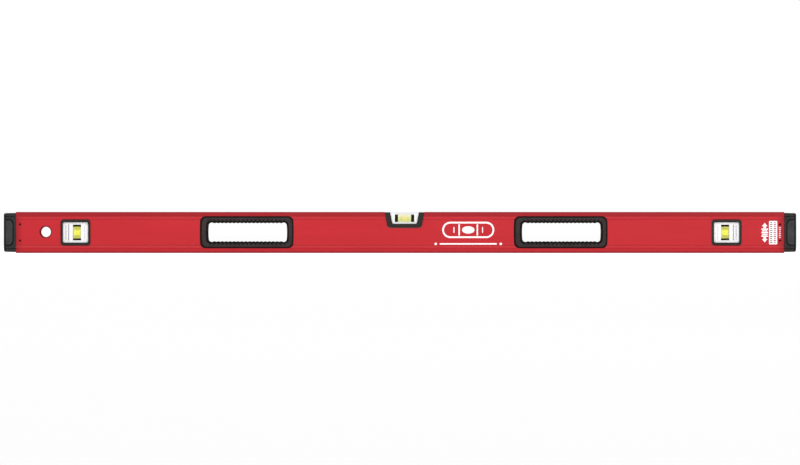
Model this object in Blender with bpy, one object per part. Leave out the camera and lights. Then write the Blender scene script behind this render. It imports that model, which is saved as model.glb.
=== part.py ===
"""A 1.22 m box-beam spirit level, one named object for each of its pieces.

Metres, +Z up. X runs along the beam, the front face looks toward -Y, and the origin is the middle
of the bottom working face. Heights named here are measured from the beam's mid-height.
"""
import math

import bmesh
import bpy
from mathutils import Vector

MM = 0.001
FIT = 0.3 * MM                      # gap kept between neighbouring pieces
PAST = 2.0 * MM                     # how far a cutter runs past the face it opens
CORNER_STEPS = 4                    # straight runs in a rounded corner
ROUND_STEPS = 20                    # straight runs in a full circle
SMALL_ROUND_STEPS = 12              # straight runs in a screw or a small hole
SMOOTH_ANGLE = math.radians(40)

# Beam: a hollow aluminium extrusion with two inner ribs
OVERALL_LENGTH = 1219.2 * MM
CAP_LENGTH = 18.5 * MM
BEAM_HALF_LENGTH = OVERALL_LENGTH / 2 - CAP_LENGTH
BEAM_HEIGHT = 63.2 * MM
MID = BEAM_HEIGHT / 2
RAIL_HALF_WIDTH = 14.3 * MM         # the proud strips along the top and bottom of each face
PANEL_HALF_WIDTH = 13.0 * MM        # the recessed middle of each face
STEP_HALF_WIDTH = 13.2 * MM
RIDGE_HALF_WIDTH = 13.9 * MM
GROOVE_HALF_WIDTH = 12.5 * MM
EDGE_CHAMFER = 1.2 * MM
RAIL_END = 6.0 * MM                 # these four are depths below the working face
STEP_END = 6.6 * MM
RIDGE_DEPTH = 8.6 * MM
GROOVE_DEPTH = 11.7 * MM
PANEL_START = 12.4 * MM
CHAMBER_HALF_WIDTH = 11.2 * MM
RIB_INNER = 20.0 * MM               # the ribs lie between these two heights, above and below
RIB_OUTER = 21.8 * MM
FLANGE_INNER = MID - 4.0 * MM       # inner side of the thick top and bottom walls
HANG_HOLE_X = -545.2 * MM
HANG_HOLE_Z = 0.9 * MM
HANG_HOLE_RADIUS = 8.0 * MM

# End caps: a hard core with a plug inside the beam, and a soft bumper round its outer end
CAP_HALF_HEIGHT = 30.1 * MM
CAP_HALF_WIDTH = 14.0 * MM
CAP_CHAMFER = 1.6 * MM
CAP_LINE_HEIGHT = 25.2 * MM         # a shallow line along each face near the top and bottom
CAP_LINE_HALF = 0.5 * MM
CAP_LINE_DEPTH = 0.7 * MM
CAP_END_ROUND = 2.4 * MM            # the outer edges turn in by this much, in two slopes
CAP_FIRST_SLOPE = 0.3 * CAP_END_ROUND
PLUG_LENGTH = 28.0 * MM
PLUG_WALL = 2.2 * MM
BUMPER_START = 4.9 * MM             # from the beam's end to the straight side of the bumper
BUMPER_SMALL_HALF = 11.5 * MM
BUMPER_LARGE_HALF = 19.0 * MM
BUMPER_ARC_REACH = 6.0 * MM
BUMPER_END_THICKNESS = 3.4 * MM
BUMPER_BEVEL = 0.6 * MM
LATCH_FROM_END = 6.5 * MM
LATCH_HEIGHT = 12.5 * MM
LATCH_HOLE_RADIUS = 1.6 * MM

# Hand holes: each has a front and a rear grip, a rubber skin on a hard frame
GRIP_MIDDLE_X = 5.7 * MM            # midway between the two hand holes
GRIP_SPACING = 483.1 * MM
GRIP_HEIGHT = 0.4 * MM
GRIP_HALF_LENGTH = 71.2 * MM
GRIP_HALF_HEIGHT = 24.6 * MM
GRIP_CORNER = 7.5 * MM
HAND_SHIFT = 1.3 * MM               # the opening sits this far right of the grip's middle
HAND_HALF_LENGTH = 59.7 * MM
HAND_HALF_HEIGHT = 14.9 * MM
HAND_CORNER = 4.0 * MM
HAND_BOW = 1.0 * MM                 # how far the ends of the opening bow outward
GRIP_LINING = 2.0 * MM
GRIP_SLEEVE = 1.6 * MM
GRIP_FACE = 14.2 * MM               # outer face, just under the rails
GRIP_SKIN = 1.2 * MM
GRIP_PLATE_BACK = 11.3 * MM
GRIP_CUT_DEPTH = 11.0 * MM          # the beam's wall is opened from here outward
GRIP_MEETING = 0.15 * MM            # each half stops this far short of the middle plane

# Plumb windows, one near each end, and the parts behind them
PLUMB_MIDDLE_X = 1.6 * MM
PLUMB_SPACING = 1001.8 * MM
PLUMB_VIAL_SHIFT = 2.0 * MM         # the vial stands this far toward the level's middle
PLUMB_FLANGE = (23.0 * MM, 19.9 * MM, 4.5 * MM)      # half width, half height, corner radius
PLUMB_CUT = (21.6 * MM, 18.3 * MM, 3.8 * MM)
PLUMB_COLLAR = (21.3 * MM, 18.0 * MM, 3.5 * MM)
PLUMB_LENS_SEAT = (20.5 * MM, 17.2 * MM, 2.8 * MM)
PLUMB_LENS = (20.2 * MM, 16.9 * MM, 2.5 * MM)
PLUMB_VIEW = (19.3 * MM, 15.5 * MM, 2.2 * MM)
PLUMB_HOUSING = (20.2 * MM, 17.7 * MM, 2.0 * MM)
BEZEL_FACE = 14.2 * MM
BEZEL_FLANGE_BACK = 13.3 * MM
BEZEL_LIP_BACK = 12.6 * MM
BEZEL_BACK = 10.4 * MM
LENS_FACE = 12.3 * MM
LENS_BACK = 11.0 * MM
HOUSING_HALF_DEPTH = 10.1 * MM

# Level window, in the middle of the top edge
LEVEL_X = 7.0 * MM
LEVEL_TOP = MID - 0.4 * MM          # bezels and lenses stop just under the working face
LEVEL_OUTER_TOP_HALF = 30.6 * MM    # half widths at the working face and at the bottom
LEVEL_OUTER_LOW_HALF = 26.2 * MM
LEVEL_OUTER_LOW = 7.1 * MM
LEVEL_OUTER_CORNER = 6.0 * MM
LEVEL_VIEW_TOP_HALF = 22.1 * MM
LEVEL_VIEW_LOW_HALF = 18.7 * MM
LEVEL_VIEW_LOW = 14.0 * MM
LEVEL_VIEW_CORNER = 2.0 * MM
LEVEL_LENS_MARGIN = 1.2 * MM
LEVEL_VIAL_HEIGHT = 22.0 * MM
LEVEL_HOUSING_TOP = 29.2 * MM
LEVEL_HOUSING_LOW = 10.9 * MM
LEVEL_HOUSING_TOP_HALF = 23.2 * MM
LEVEL_HOUSING_LOW_HALF = 20.8 * MM
LEVEL_SHOULDER_LOW = 20.0 * MM
LEVEL_TOP_LENS_HALF_WIDTH = 10.1 * MM
LEVEL_TOP_LENS_HALF_LENGTH = 23.2 * MM
LEVEL_TOP_LENS_LOW = 29.6 * MM

# Vials: (half width, half depth, half length) of the block, then the bore and what is in it
PLUMB_BLOCK = (7.6 * MM, 8.0 * MM, 15.6 * MM)
PLUMB_BORE_RADIUS = 6.2 * MM
PLUMB_RING_PLACE = 10.5 * MM
PLUMB_RING_HALF = 1.5 * MM
PLUMB_BUBBLE_HALF = 6.1 * MM
LEVEL_BLOCK = (7.2 * MM, 8.0 * MM, 19.0 * MM)
LEVEL_BORE_RADIUS = 5.9 * MM
LEVEL_RING_PLACE = 12.5 * MM
LEVEL_RING_HALF = 2.4 * MM
LEVEL_BUBBLE_HALF = 6.0 * MM
VIAL_END_WALL = 1.8 * MM
RING_WALL = 0.6 * MM
FLUID_SKIN = 0.55 * MM              # liquid left between a ring and the bubble's channel
BUBBLE_GAP = 0.25 * MM
BUBBLE_DOME = 2.4 * MM
BUBBLE_DOME_STEPS = 5

# Backbone brackets and their screws
BRACKET_THICKNESS = 1.5 * MM
BRACKET_HALF_WIDTH = 7.0 * MM
BRACKET_EAR = 19.7 * MM             # outer face of an ear, just inside a rib
PLUMB_BRACKET_WEB = 20.5 * MM       # from the window's middle to the web
PLUMB_BRACKET_END = 33.0 * MM
PLUMB_SCREW_PLACE = 28.0 * MM
LEVEL_BRACKET_BASE = 10.6 * MM       # upper side of the strip under the housing
LEVEL_BRACKET_BASE_HALF = 22.5 * MM
LEVEL_BRACKET_LEG_TOP = 30.0 * MM
LEVEL_BRACKET_END = 41.0 * MM
LEVEL_SCREW_PLACE = 36.0 * MM
SCREW_SHANK_RADIUS = 1.2 * MM
SCREW_HOLE_RADIUS = SCREW_SHANK_RADIUS + FIT
SCREW_HEAD_RADIUS = 2.6 * MM
SCREW_CROWN_RADIUS = 2.1 * MM
SCREW_HEAD_HEIGHT = 1.8 * MM
SCREW_TIP_HEIGHT = 24.5 * MM
SCREW_TIP_RADIUS = 0.5 * MM


# Directions for prisms: two coordinates of an outline, then the level along the prism

def along_x(u, v, level):
    return Vector((level, u, v))


def along_y(u, v, level):
    return Vector((u, level, v))


def along_z(u, v, level):
    return Vector((u, v, level))


# Outlines

def rounded(corners, radius, steps=CORNER_STEPS):
    """The closed outline through the corners, with each corner turned into an arc."""
    points = []
    for index, corner in enumerate(corners):
        here = Vector(corner)
        before = (Vector(corners[index - 1]) - here).normalized()
        after = (Vector(corners[(index + 1) % len(corners)]) - here).normalized()
        half_angle = before.angle(after) / 2
        centre = here + (before + after).normalized() * (radius / math.sin(half_angle))
        reach = radius / math.tan(half_angle)
        start = here + before * reach - centre
        end = here + after * reach - centre
        sweep = start.angle(end)
        for step in range(steps + 1):
            part = step / steps
            spoke = start * math.sin((1 - part) * sweep) + end * math.sin(part * sweep)
            points.append(tuple(centre + spoke / math.sin(sweep)))
    return points


def rectangle(half_width, half_height, radius, middle=(0.0, 0.0)):
    """A rounded rectangle, counter-clockwise from its lower left corner."""
    across, up = middle
    corners = [
        (across - half_width, up - half_height),
        (across + half_width, up - half_height),
        (across + half_width, up + half_height),
        (across - half_width, up + half_height),
    ]
    return rounded(corners, radius)


def bowed_rectangle(half_width, half_height, radius, middle, bow):
    """A rounded rectangle whose two ends bow outward by the given amount at mid-height."""
    points = []
    for across, up in rectangle(half_width, half_height, radius):
        side = math.copysign(1.0, across)
        bulge = bow * (1 - (up / half_height) ** 2)
        points.append((across + side * bulge, up))
    right_end = 2 * (CORNER_STEPS + 1)
    points.insert(right_end, (half_width + bow, 0.0))
    points.append((-half_width - bow, 0.0))
    return [(across + middle[0], up + middle[1]) for across, up in points]


def circle(radius, steps, middle=(0.0, 0.0)):
    points = []
    for step in range(steps):
        angle = 2 * math.pi * step / steps
        points.append((middle[0] + radius * math.cos(angle), middle[1] + radius * math.sin(angle)))
    return points


def strip(path, thickness):
    """The outline of a bent strip: the path, and the path moved sideways by the thickness."""
    moved = []
    for index, point in enumerate(path):
        here = Vector(point)
        before = Vector(path[max(index - 1, 0)])
        after = Vector(path[min(index + 1, len(path) - 1)])
        into = (here - before).normalized() if index > 0 else (after - here).normalized()
        out = (after - here).normalized() if index < len(path) - 1 else into
        side_in = Vector((-into.y, into.x))
        side_out = Vector((-out.y, out.x))
        mitre = (side_in + side_out).normalized()
        moved.append(tuple(here + mitre * (thickness / mitre.dot(side_in))))
    return list(path) + moved[::-1]


# Solids

def add_prism(mesh, outline, along, low, high):
    """Add a closed prism: the outline at the low level, extruded to the high level."""
    base = [mesh.verts.new(along(u, v, low)) for u, v in outline]
    cap = mesh.faces.new(base)
    grown = bmesh.ops.extrude_face_region(mesh, geom=[cap])
    top = [item for item in grown["geom"] if isinstance(item, bmesh.types.BMVert)]
    bmesh.ops.translate(mesh, verts=top, vec=along(0.0, 0.0, high - low))


def add_hollow_prism(mesh, outlines, along, low, high):
    """Add a prism whose section is the first outline with the others as holes in it."""
    edges = []
    for outline in outlines:
        verts = [mesh.verts.new(along(u, v, low)) for u, v in outline]
        for index, vert in enumerate(verts):
            edges.append(mesh.edges.new((verts[index - 1], vert)))
    filled = bmesh.ops.triangle_fill(mesh, use_beauty=True, edges=edges)
    caps = [item for item in filled["geom"] if isinstance(item, bmesh.types.BMFace)]
    grown = bmesh.ops.extrude_face_region(mesh, geom=caps)
    top = [item for item in grown["geom"] if isinstance(item, bmesh.types.BMVert)]
    bmesh.ops.translate(mesh, verts=top, vec=along(0.0, 0.0, high - low))


def add_ring(mesh, stations, along):
    """Add a closed ring. Each station is one corner of its section: an outline and a level."""
    loops = []
    for outline, level in stations:
        loops.append([mesh.verts.new(along(u, v, level)) for u, v in outline])
    for number, loop in enumerate(loops):
        last = loops[number - 1]
        for index in range(len(loop)):
            mesh.faces.new((last[index - 1], last[index], loop[index], loop[index - 1]))


def add_loft(mesh, stations, along):
    """Add a solid skinned over its stations, each an outline and a level, and closed at both ends."""
    loops = []
    for outline, level in stations:
        loops.append([mesh.verts.new(along(u, v, level)) for u, v in outline])
    for last, loop in zip(loops, loops[1:]):
        for index in range(len(loop)):
            mesh.faces.new((last[index - 1], last[index], loop[index], loop[index - 1]))
    mesh.faces.new(loops[0])
    mesh.faces.new(loops[-1])


def add_turned(mesh, profile, steps, closed):
    """Turn a profile of (radius, height) points about Z. A closed profile makes a ring."""
    verts = [mesh.verts.new((radius, 0.0, height)) for radius, height in profile]
    edges = [mesh.edges.new((verts[i], verts[i + 1])) for i in range(len(verts) - 1)]
    if closed:
        edges.append(mesh.edges.new((verts[-1], verts[0])))
    bmesh.ops.spin(
        mesh,
        geom=verts + edges,
        cent=(0.0, 0.0, 0.0),
        axis=(0.0, 0.0, 1.0),
        angle=2 * math.pi,
        steps=steps,
        use_merge=True,
    )
    bmesh.ops.remove_doubles(mesh, verts=mesh.verts, dist=0.001 * MM)


def add_piece(name, mesh, finish, location=(0.0, 0.0, 0.0), turn_y=0.0, smooth=False):
    """Make the named object from the mesh, with its material and place."""
    bmesh.ops.recalc_face_normals(mesh, faces=mesh.faces)
    data = bpy.data.meshes.new(name)
    mesh.to_mesh(data)
    mesh.free()
    data.materials.append(finish)
    if smooth:
        data.shade_smooth()
        data.set_sharp_from_angle(angle=SMOOTH_ANGLE)
    piece = bpy.data.objects.new(name, data)
    piece.location = location
    piece.rotation_euler = (0.0, turn_y, 0.0)
    bpy.context.scene.collection.objects.link(piece)
    return piece


def prism_piece(name, outline, along, low, high, finish, location=(0.0, 0.0, 0.0)):
    mesh = bmesh.new()
    add_prism(mesh, outline, along, low, high)
    return add_piece(name, mesh, finish, location)


def add_cutter(name, mesh, finish, location=(0.0, 0.0, 0.0)):
    cutter = add_piece(name, mesh, finish, location)
    cutter.hide_render = True
    cutter.display_type = "WIRE"
    return cutter


def combine(piece, other, operation):
    """Cut the piece by another object, or join the other object to it."""
    boolean = piece.modifiers.new(operation.lower(), "BOOLEAN")
    boolean.operation = operation
    boolean.solver = "EXACT"
    boolean.object = other


def bevel(piece, width, segments=2):
    modifier = piece.modifiers.new("edges", "BEVEL")
    modifier.width = width
    modifier.segments = segments
    modifier.limit_method = "ANGLE"
    modifier.angle_limit = SMOOTH_ANGLE


def finish_of(name, colour, roughness, metallic=0.0, transmission=0.0):
    """A Principled material with the piece's own colour."""
    material = bpy.data.materials.new(name)
    material.use_nodes = True
    shader = material.node_tree.nodes["Principled BSDF"]
    shader.inputs["Base Color"].default_value = (*colour, 1.0)
    shader.inputs["Roughness"].default_value = roughness
    shader.inputs["Metallic"].default_value = metallic
    shader.inputs["Transmission Weight"].default_value = transmission
    material.diffuse_color = (*colour, 1.0)
    return material


def make_finishes():
    return {
        "red_paint": finish_of("red_paint", (0.55, 0.035, 0.045), 0.4),
        "black_rubber": finish_of("black_rubber", (0.030, 0.028, 0.028), 0.75),
        "dark_plastic": finish_of("dark_plastic", (0.045, 0.042, 0.042), 0.55),
        "white_plastic": finish_of("white_plastic", (0.75, 0.75, 0.74), 0.45),
        "clear_acrylic": finish_of("clear_acrylic", (0.93, 0.95, 0.92), 0.05, transmission=0.9),
        "yellow_fluid": finish_of("yellow_fluid", (0.80, 0.82, 0.08), 0.1, transmission=0.6),
        "bubble": finish_of("bubble", (0.95, 0.96, 0.80), 0.05, transmission=0.8),
        "black_ring": finish_of("black_ring", (0.012, 0.012, 0.012), 0.5),
        "steel": finish_of("steel", (0.55, 0.56, 0.58), 0.35, metallic=1.0),
    }


# Beam

def beam_section():
    """Half of the outer section from the top face down, then the same mirrored."""
    top = MID
    quarter = [
        (RAIL_HALF_WIDTH - EDGE_CHAMFER, top),
        (RAIL_HALF_WIDTH, top - EDGE_CHAMFER),
        (RAIL_HALF_WIDTH, top - RAIL_END),
        (STEP_HALF_WIDTH, top - STEP_END),
        (RIDGE_HALF_WIDTH, top - RIDGE_DEPTH),
        (GROOVE_HALF_WIDTH, top - GROOVE_DEPTH),
        (PANEL_HALF_WIDTH, top - PANEL_START),
    ]
    right = quarter + [(across, -up) for across, up in reversed(quarter)]
    left = [(-across, up) for across, up in reversed(right)]
    return right + left


def chamber(low, high):
    return [
        (-CHAMBER_HALF_WIDTH, low),
        (CHAMBER_HALF_WIDTH, low),
        (CHAMBER_HALF_WIDTH, high),
        (-CHAMBER_HALF_WIDTH, high),
    ]


def level_outline(top_half, low_half, low, corner, top, margin=0.0):
    """The level window's tapering outline: square at the top, rounded at the bottom.

    The half widths are those at the working face and at the low edge.
    """
    slope = (top_half - low_half) / (MID - low)
    corners = [
        (-(top_half + margin + (top - MID) * slope), top),
        (-(low_half + margin - margin * slope), low - margin),
        (low_half + margin - margin * slope, low - margin),
        (top_half + margin + (top - MID) * slope, top),
    ]
    low_curve = rounded(corners, corner)
    arc = CORNER_STEPS + 1
    return [corners[0]] + low_curve[arc:3 * arc] + [corners[3]]


def level_outer(top, margin=0.0):
    return level_outline(
        LEVEL_OUTER_TOP_HALF, LEVEL_OUTER_LOW_HALF, LEVEL_OUTER_LOW, LEVEL_OUTER_CORNER, top, margin)


def level_view(top, margin=0.0):
    return level_outline(
        LEVEL_VIEW_TOP_HALF, LEVEL_VIEW_LOW_HALF, LEVEL_VIEW_LOW, LEVEL_VIEW_CORNER, top, margin)


def shifted(outline, across):
    return [(u + across, v) for u, v in outline]


def add_beam_cuts(mesh):
    """All the holes in the beam's walls and ribs, as separate prisms in one mesh."""
    through = RAIL_HALF_WIDTH + PAST
    for side in (-1, 1):
        window = shifted(rectangle(*PLUMB_CUT), plumb_x(side))
        add_prism(mesh, window, along_y, -through, through)
        grip = shifted(grip_outer(FIT), grip_x(side))
        add_prism(mesh, grip, along_y, GRIP_CUT_DEPTH, through)
        add_prism(mesh, grip, along_y, -through, -GRIP_CUT_DEPTH)
        for up in (-LATCH_HEIGHT, LATCH_HEIGHT):
            middle = (side * (BEAM_HALF_LENGTH - LATCH_FROM_END), up)
            hole = circle(LATCH_HOLE_RADIUS, SMALL_ROUND_STEPS, middle)
            add_prism(mesh, hole, along_y, -through, through)
            rib = math.copysign((RIB_INNER + RIB_OUTER) / 2, up)
            middle = (plumb_x(side) - side * PLUMB_SCREW_PLACE, 0.0)
            hole = circle(SCREW_HOLE_RADIUS, SMALL_ROUND_STEPS, middle)
            add_prism(mesh, hole, along_z, rib - PAST, rib + PAST)
        hole = circle(SCREW_HOLE_RADIUS, SMALL_ROUND_STEPS, (LEVEL_X + side * LEVEL_SCREW_PLACE, 0.0))
        rib = (RIB_INNER + RIB_OUTER) / 2
        add_prism(mesh, hole, along_z, rib - PAST, rib + PAST)
    hang_hole = circle(HANG_HOLE_RADIUS, ROUND_STEPS, (HANG_HOLE_X, HANG_HOLE_Z))
    add_prism(mesh, hang_hole, along_y, -through, through)
    notch = shifted(level_outer(MID + PAST, FIT), LEVEL_X)
    add_prism(mesh, notch, along_y, -through, through)


def add_beam(finishes):
    mesh = bmesh.new()
    outlines = [
        beam_section(),
        chamber(-RIB_INNER, RIB_INNER),
        chamber(RIB_OUTER, FLANGE_INNER),
        chamber(-FLANGE_INNER, -RIB_OUTER),
    ]
    add_hollow_prism(mesh, outlines, along_x, -BEAM_HALF_LENGTH, BEAM_HALF_LENGTH)
    beam = add_piece("beam", mesh, finishes["red_paint"], (0.0, 0.0, MID))
    cuts = bmesh.new()
    add_beam_cuts(cuts)
    combine(beam, add_cutter("beam_cuts", cuts, finishes["steel"], (0.0, 0.0, MID)), "DIFFERENCE")


# End caps. They are made for the right end and turned half round for the left.

def cap_section(inset):
    """The cap's outer section, drawn in by the inset, with a shallow line along each face."""
    half_width = CAP_HALF_WIDTH - inset
    half_height = CAP_HALF_HEIGHT - inset
    quarter = [
        (half_width - CAP_CHAMFER, half_height),
        (half_width, half_height - CAP_CHAMFER),
        (half_width, CAP_LINE_HEIGHT + CAP_LINE_HALF),
        (half_width - CAP_LINE_DEPTH, CAP_LINE_HEIGHT),
        (half_width, CAP_LINE_HEIGHT - CAP_LINE_HALF),
    ]
    right = quarter + [(across, -up) for across, up in reversed(quarter)]
    return right + [(-across, up) for across, up in reversed(right)]


def bumper_outline(side, margin, end):
    """The bumper's D shape: a straight side near the beam, then arcs opening to the end."""
    upper = []
    for step in range(CORNER_STEPS + 1):
        angle = math.pi / 2 * step / CORNER_STEPS
        reach = BUMPER_ARC_REACH * (1 - math.cos(angle))
        rise = (BUMPER_LARGE_HALF - BUMPER_SMALL_HALF) * math.sin(angle)
        upper.append((BUMPER_START - margin + reach, BUMPER_SMALL_HALF + margin + rise))
    upper.append((end, BUMPER_LARGE_HALF + margin))
    lower = [(out, -up) for out, up in reversed(upper)]
    return [(side * out, up) for out, up in upper + lower]


def box_outline(half_width, half_height):
    return [
        (-half_width, -half_height),
        (half_width, -half_height),
        (half_width, half_height),
        (-half_width, half_height),
    ]


def add_end_cap(side, finishes):
    """The core and the bumper of one end cap. Their origin is the middle of the beam's end."""
    name = "end_cap_left" if side < 0 else "end_cap_right"
    place = (side * BEAM_HALF_LENGTH, 0.0, MID)
    plug_half_width = CHAMBER_HALF_WIDTH - FIT
    plug_half_height = RIB_INNER - FIT
    plug_end = CAP_LENGTH - BUMPER_END_THICKNESS - FIT

    stations = [
        (cap_section(0.0), side * FIT),
        (cap_section(0.0), side * (CAP_LENGTH - CAP_END_ROUND)),
        (cap_section(CAP_FIRST_SLOPE), side * (CAP_LENGTH - CAP_FIRST_SLOPE)),
        (cap_section(CAP_END_ROUND), side * CAP_LENGTH),
    ]
    mesh = bmesh.new()
    add_loft(mesh, stations, along_x)
    core = add_piece(name + "_core", mesh, finishes["dark_plastic"], place)

    mesh = bmesh.new()
    room = bumper_outline(side, FIT, CAP_LENGTH + PAST)
    add_prism(mesh, room, along_y, -CAP_HALF_WIDTH - PAST, CAP_HALF_WIDTH + PAST)
    combine(core, add_cutter(name + "_room", mesh, finishes["steel"], place), "DIFFERENCE")

    mesh = bmesh.new()
    plug = box_outline(plug_half_width, plug_half_height)
    add_prism(mesh, plug, along_x, -side * PLUG_LENGTH, side * plug_end)
    combine(core, add_cutter(name + "_plug", mesh, finishes["steel"], place), "UNION")

    mesh = bmesh.new()
    hollow = box_outline(plug_half_width - PLUG_WALL, plug_half_height - PLUG_WALL)
    add_prism(mesh, hollow, along_x, -side * (PLUG_LENGTH + PAST), -side * PLUG_WALL)
    combine(core, add_cutter(name + "_hollow", mesh, finishes["steel"], place), "DIFFERENCE")

    mesh = bmesh.new()
    outline = bumper_outline(side, 0.0, CAP_LENGTH)
    add_prism(mesh, outline, along_y, -CAP_HALF_WIDTH, CAP_HALF_WIDTH)
    bumper = add_piece(name + "_bumper", mesh, finishes["black_rubber"], place)
    bevel(bumper, BUMPER_BEVEL, 1)

    mesh = bmesh.new()
    inside = box_outline(plug_half_width + FIT, BUMPER_LARGE_HALF + PAST)
    add_prism(mesh, inside, along_x, 0.0, side * (plug_end + FIT))
    combine(bumper, add_cutter(name + "_inside", mesh, finishes["steel"], place), "DIFFERENCE")


# Grips

def grip_x(side):
    return GRIP_MIDDLE_X + side * GRIP_SPACING / 2


def grip_outer(margin=0.0):
    return bowed_rectangle(
        GRIP_HALF_LENGTH + margin,
        GRIP_HALF_HEIGHT + margin,
        GRIP_CORNER + margin,
        (0.0, GRIP_HEIGHT),
        HAND_BOW,
    )


def hand_opening(margin=0.0):
    return bowed_rectangle(
        HAND_HALF_LENGTH + margin,
        HAND_HALF_HEIGHT + margin,
        HAND_CORNER + margin,
        (HAND_SHIFT, GRIP_HEIGHT),
        HAND_BOW,
    )


def add_grip_half(side, facing, finishes):
    """The rubber skin and the hard frame of one half of a grip."""
    name = "grip_left" if side < 0 else "grip_right"
    name += "_front" if facing < 0 else "_rear"
    place = (grip_x(side), 0.0, MID)
    lining = hand_opening(GRIP_LINING)
    skin_back = GRIP_FACE - GRIP_SKIN
    rubber = [
        (grip_outer(), facing * GRIP_FACE),
        (grip_outer(), facing * skin_back),
        (lining, facing * skin_back),
        (lining, facing * GRIP_MEETING),
        (hand_opening(), facing * GRIP_MEETING),
        (hand_opening(), facing * GRIP_FACE),
    ]
    mesh = bmesh.new()
    add_ring(mesh, rubber, along_y)
    add_piece(name + "_rubber", mesh, finishes["black_rubber"], place)

    sleeve_inner = hand_opening(GRIP_LINING + FIT)
    sleeve_outer = hand_opening(GRIP_LINING + FIT + GRIP_SLEEVE)
    plate_face = skin_back - FIT
    frame = [
        (grip_outer(), facing * plate_face),
        (grip_outer(), facing * GRIP_PLATE_BACK),
        (sleeve_outer, facing * GRIP_PLATE_BACK),
        (sleeve_outer, facing * GRIP_MEETING),
        (sleeve_inner, facing * GRIP_MEETING),
        (sleeve_inner, facing * plate_face),
    ]
    mesh = bmesh.new()
    add_ring(mesh, frame, along_y)
    add_piece(name + "_frame", mesh, finishes["dark_plastic"], place)


# Vials. Each is made with its bore along Z, then turned where it lies along X.

def add_vial(name, ends, block, bore, ring_place, ring_half, bubble_half, place, turn_y, finishes):
    """The clear block, its plug, the two rings, the liquid and the bubble of one vial."""
    half_width, half_depth, half_length = block
    bore_end = half_length - VIAL_END_WALL
    ring_outer = bore - FIT
    ring_inner = ring_outer - RING_WALL
    fluid_neck = ring_inner - FIT
    channel = fluid_neck - FLUID_SKIN

    mesh = bmesh.new()
    add_prism(mesh, box_outline(half_width, half_depth), along_z, -half_length, half_length)
    vial = add_piece(name + "_vial", mesh, finishes["clear_acrylic"], place, turn_y)
    mesh = bmesh.new()
    add_prism(mesh, circle(bore, ROUND_STEPS), along_z, -bore_end, half_length + PAST)
    drill = add_cutter(name + "_bore", mesh, finishes["steel"], place)
    drill.rotation_euler = vial.rotation_euler
    combine(vial, drill, "DIFFERENCE")

    mesh = bmesh.new()
    add_prism(mesh, circle(ring_outer, ROUND_STEPS), along_z, bore_end + FIT / 2, half_length)
    add_piece(name + "_vial_plug", mesh, finishes["clear_acrylic"], place, turn_y, smooth=True)

    for end, sign in zip(ends, (-1, 1)):
        low = sign * ring_place - ring_half
        high = sign * ring_place + ring_half
        profile = [(ring_inner, low), (ring_outer, low), (ring_outer, high), (ring_inner, high)]
        mesh = bmesh.new()
        add_turned(mesh, profile, ROUND_STEPS, closed=True)
        add_piece(name + "_ring_" + end, mesh, finishes["black_ring"], place, turn_y, smooth=True)

    fluid_end = bore_end - FIT
    clear = ring_half + FIT
    upper = [
        (ring_outer, ring_place - clear),
        (fluid_neck, ring_place - clear),
        (fluid_neck, ring_place + clear),
        (ring_outer, ring_place + clear),
        (ring_outer, fluid_end),
        (channel, fluid_end),
    ]
    lower = [(radius, -height) for radius, height in reversed(upper)]
    mesh = bmesh.new()
    add_turned(mesh, upper + lower, ROUND_STEPS, closed=True)
    add_piece(name + "_fluid", mesh, finishes["yellow_fluid"], place, turn_y, smooth=True)

    radius = channel - BUBBLE_GAP
    dome = []
    for step in range(BUBBLE_DOME_STEPS + 1):
        angle = math.pi / 2 * step / BUBBLE_DOME_STEPS
        height = bubble_half - BUBBLE_DOME * (1 - math.sin(angle))
        dome.append((radius * math.cos(angle), height))
    profile = [(out, -up) for out, up in reversed(dome)] + dome
    mesh = bmesh.new()
    add_turned(mesh, profile, ROUND_STEPS, closed=False)
    add_piece(name + "_bubble", mesh, finishes["bubble"], place, turn_y, smooth=True)


def add_screw(name, place, up, finishes):
    """A screw whose head is under an ear of a bracket. Its origin is at the beam's mid-height."""
    head = BRACKET_EAR - BRACKET_THICKNESS - FIT
    profile = [
        (0.0, head - SCREW_HEAD_HEIGHT),
        (SCREW_CROWN_RADIUS, head - SCREW_HEAD_HEIGHT),
        (SCREW_HEAD_RADIUS, head - SCREW_HEAD_HEIGHT / 2),
        (SCREW_HEAD_RADIUS, head),
        (SCREW_SHANK_RADIUS, head),
        (SCREW_SHANK_RADIUS, SCREW_TIP_HEIGHT - SCREW_SHANK_RADIUS),
        (SCREW_TIP_RADIUS, SCREW_TIP_HEIGHT),
        (0.0, SCREW_TIP_HEIGHT),
    ]
    mesh = bmesh.new()
    add_turned(mesh, [(out, up * height) for out, height in profile], SMALL_ROUND_STEPS, False)
    add_piece(name, mesh, finishes["steel"], place, smooth=True)


def add_bracket(name, path, screw_places, place, finishes):
    """A bent strip with its screw holes. The path is its inner side, seen from the front."""
    mesh = bmesh.new()
    add_prism(mesh, strip(path, BRACKET_THICKNESS), along_y, -BRACKET_HALF_WIDTH, BRACKET_HALF_WIDTH)
    bracket = add_piece(name, mesh, finishes["steel"], place)
    mesh = bmesh.new()
    for across in screw_places:
        hole = circle(SCREW_HOLE_RADIUS, SMALL_ROUND_STEPS, (across, 0.0))
        add_prism(mesh, hole, along_z, -BRACKET_EAR - PAST, BRACKET_EAR + PAST)
    combine(bracket, add_cutter(name + "_holes", mesh, finishes["steel"], place), "DIFFERENCE")


# Plumb windows

def plumb_x(side):
    return PLUMB_MIDDLE_X + side * PLUMB_SPACING / 2


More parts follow.
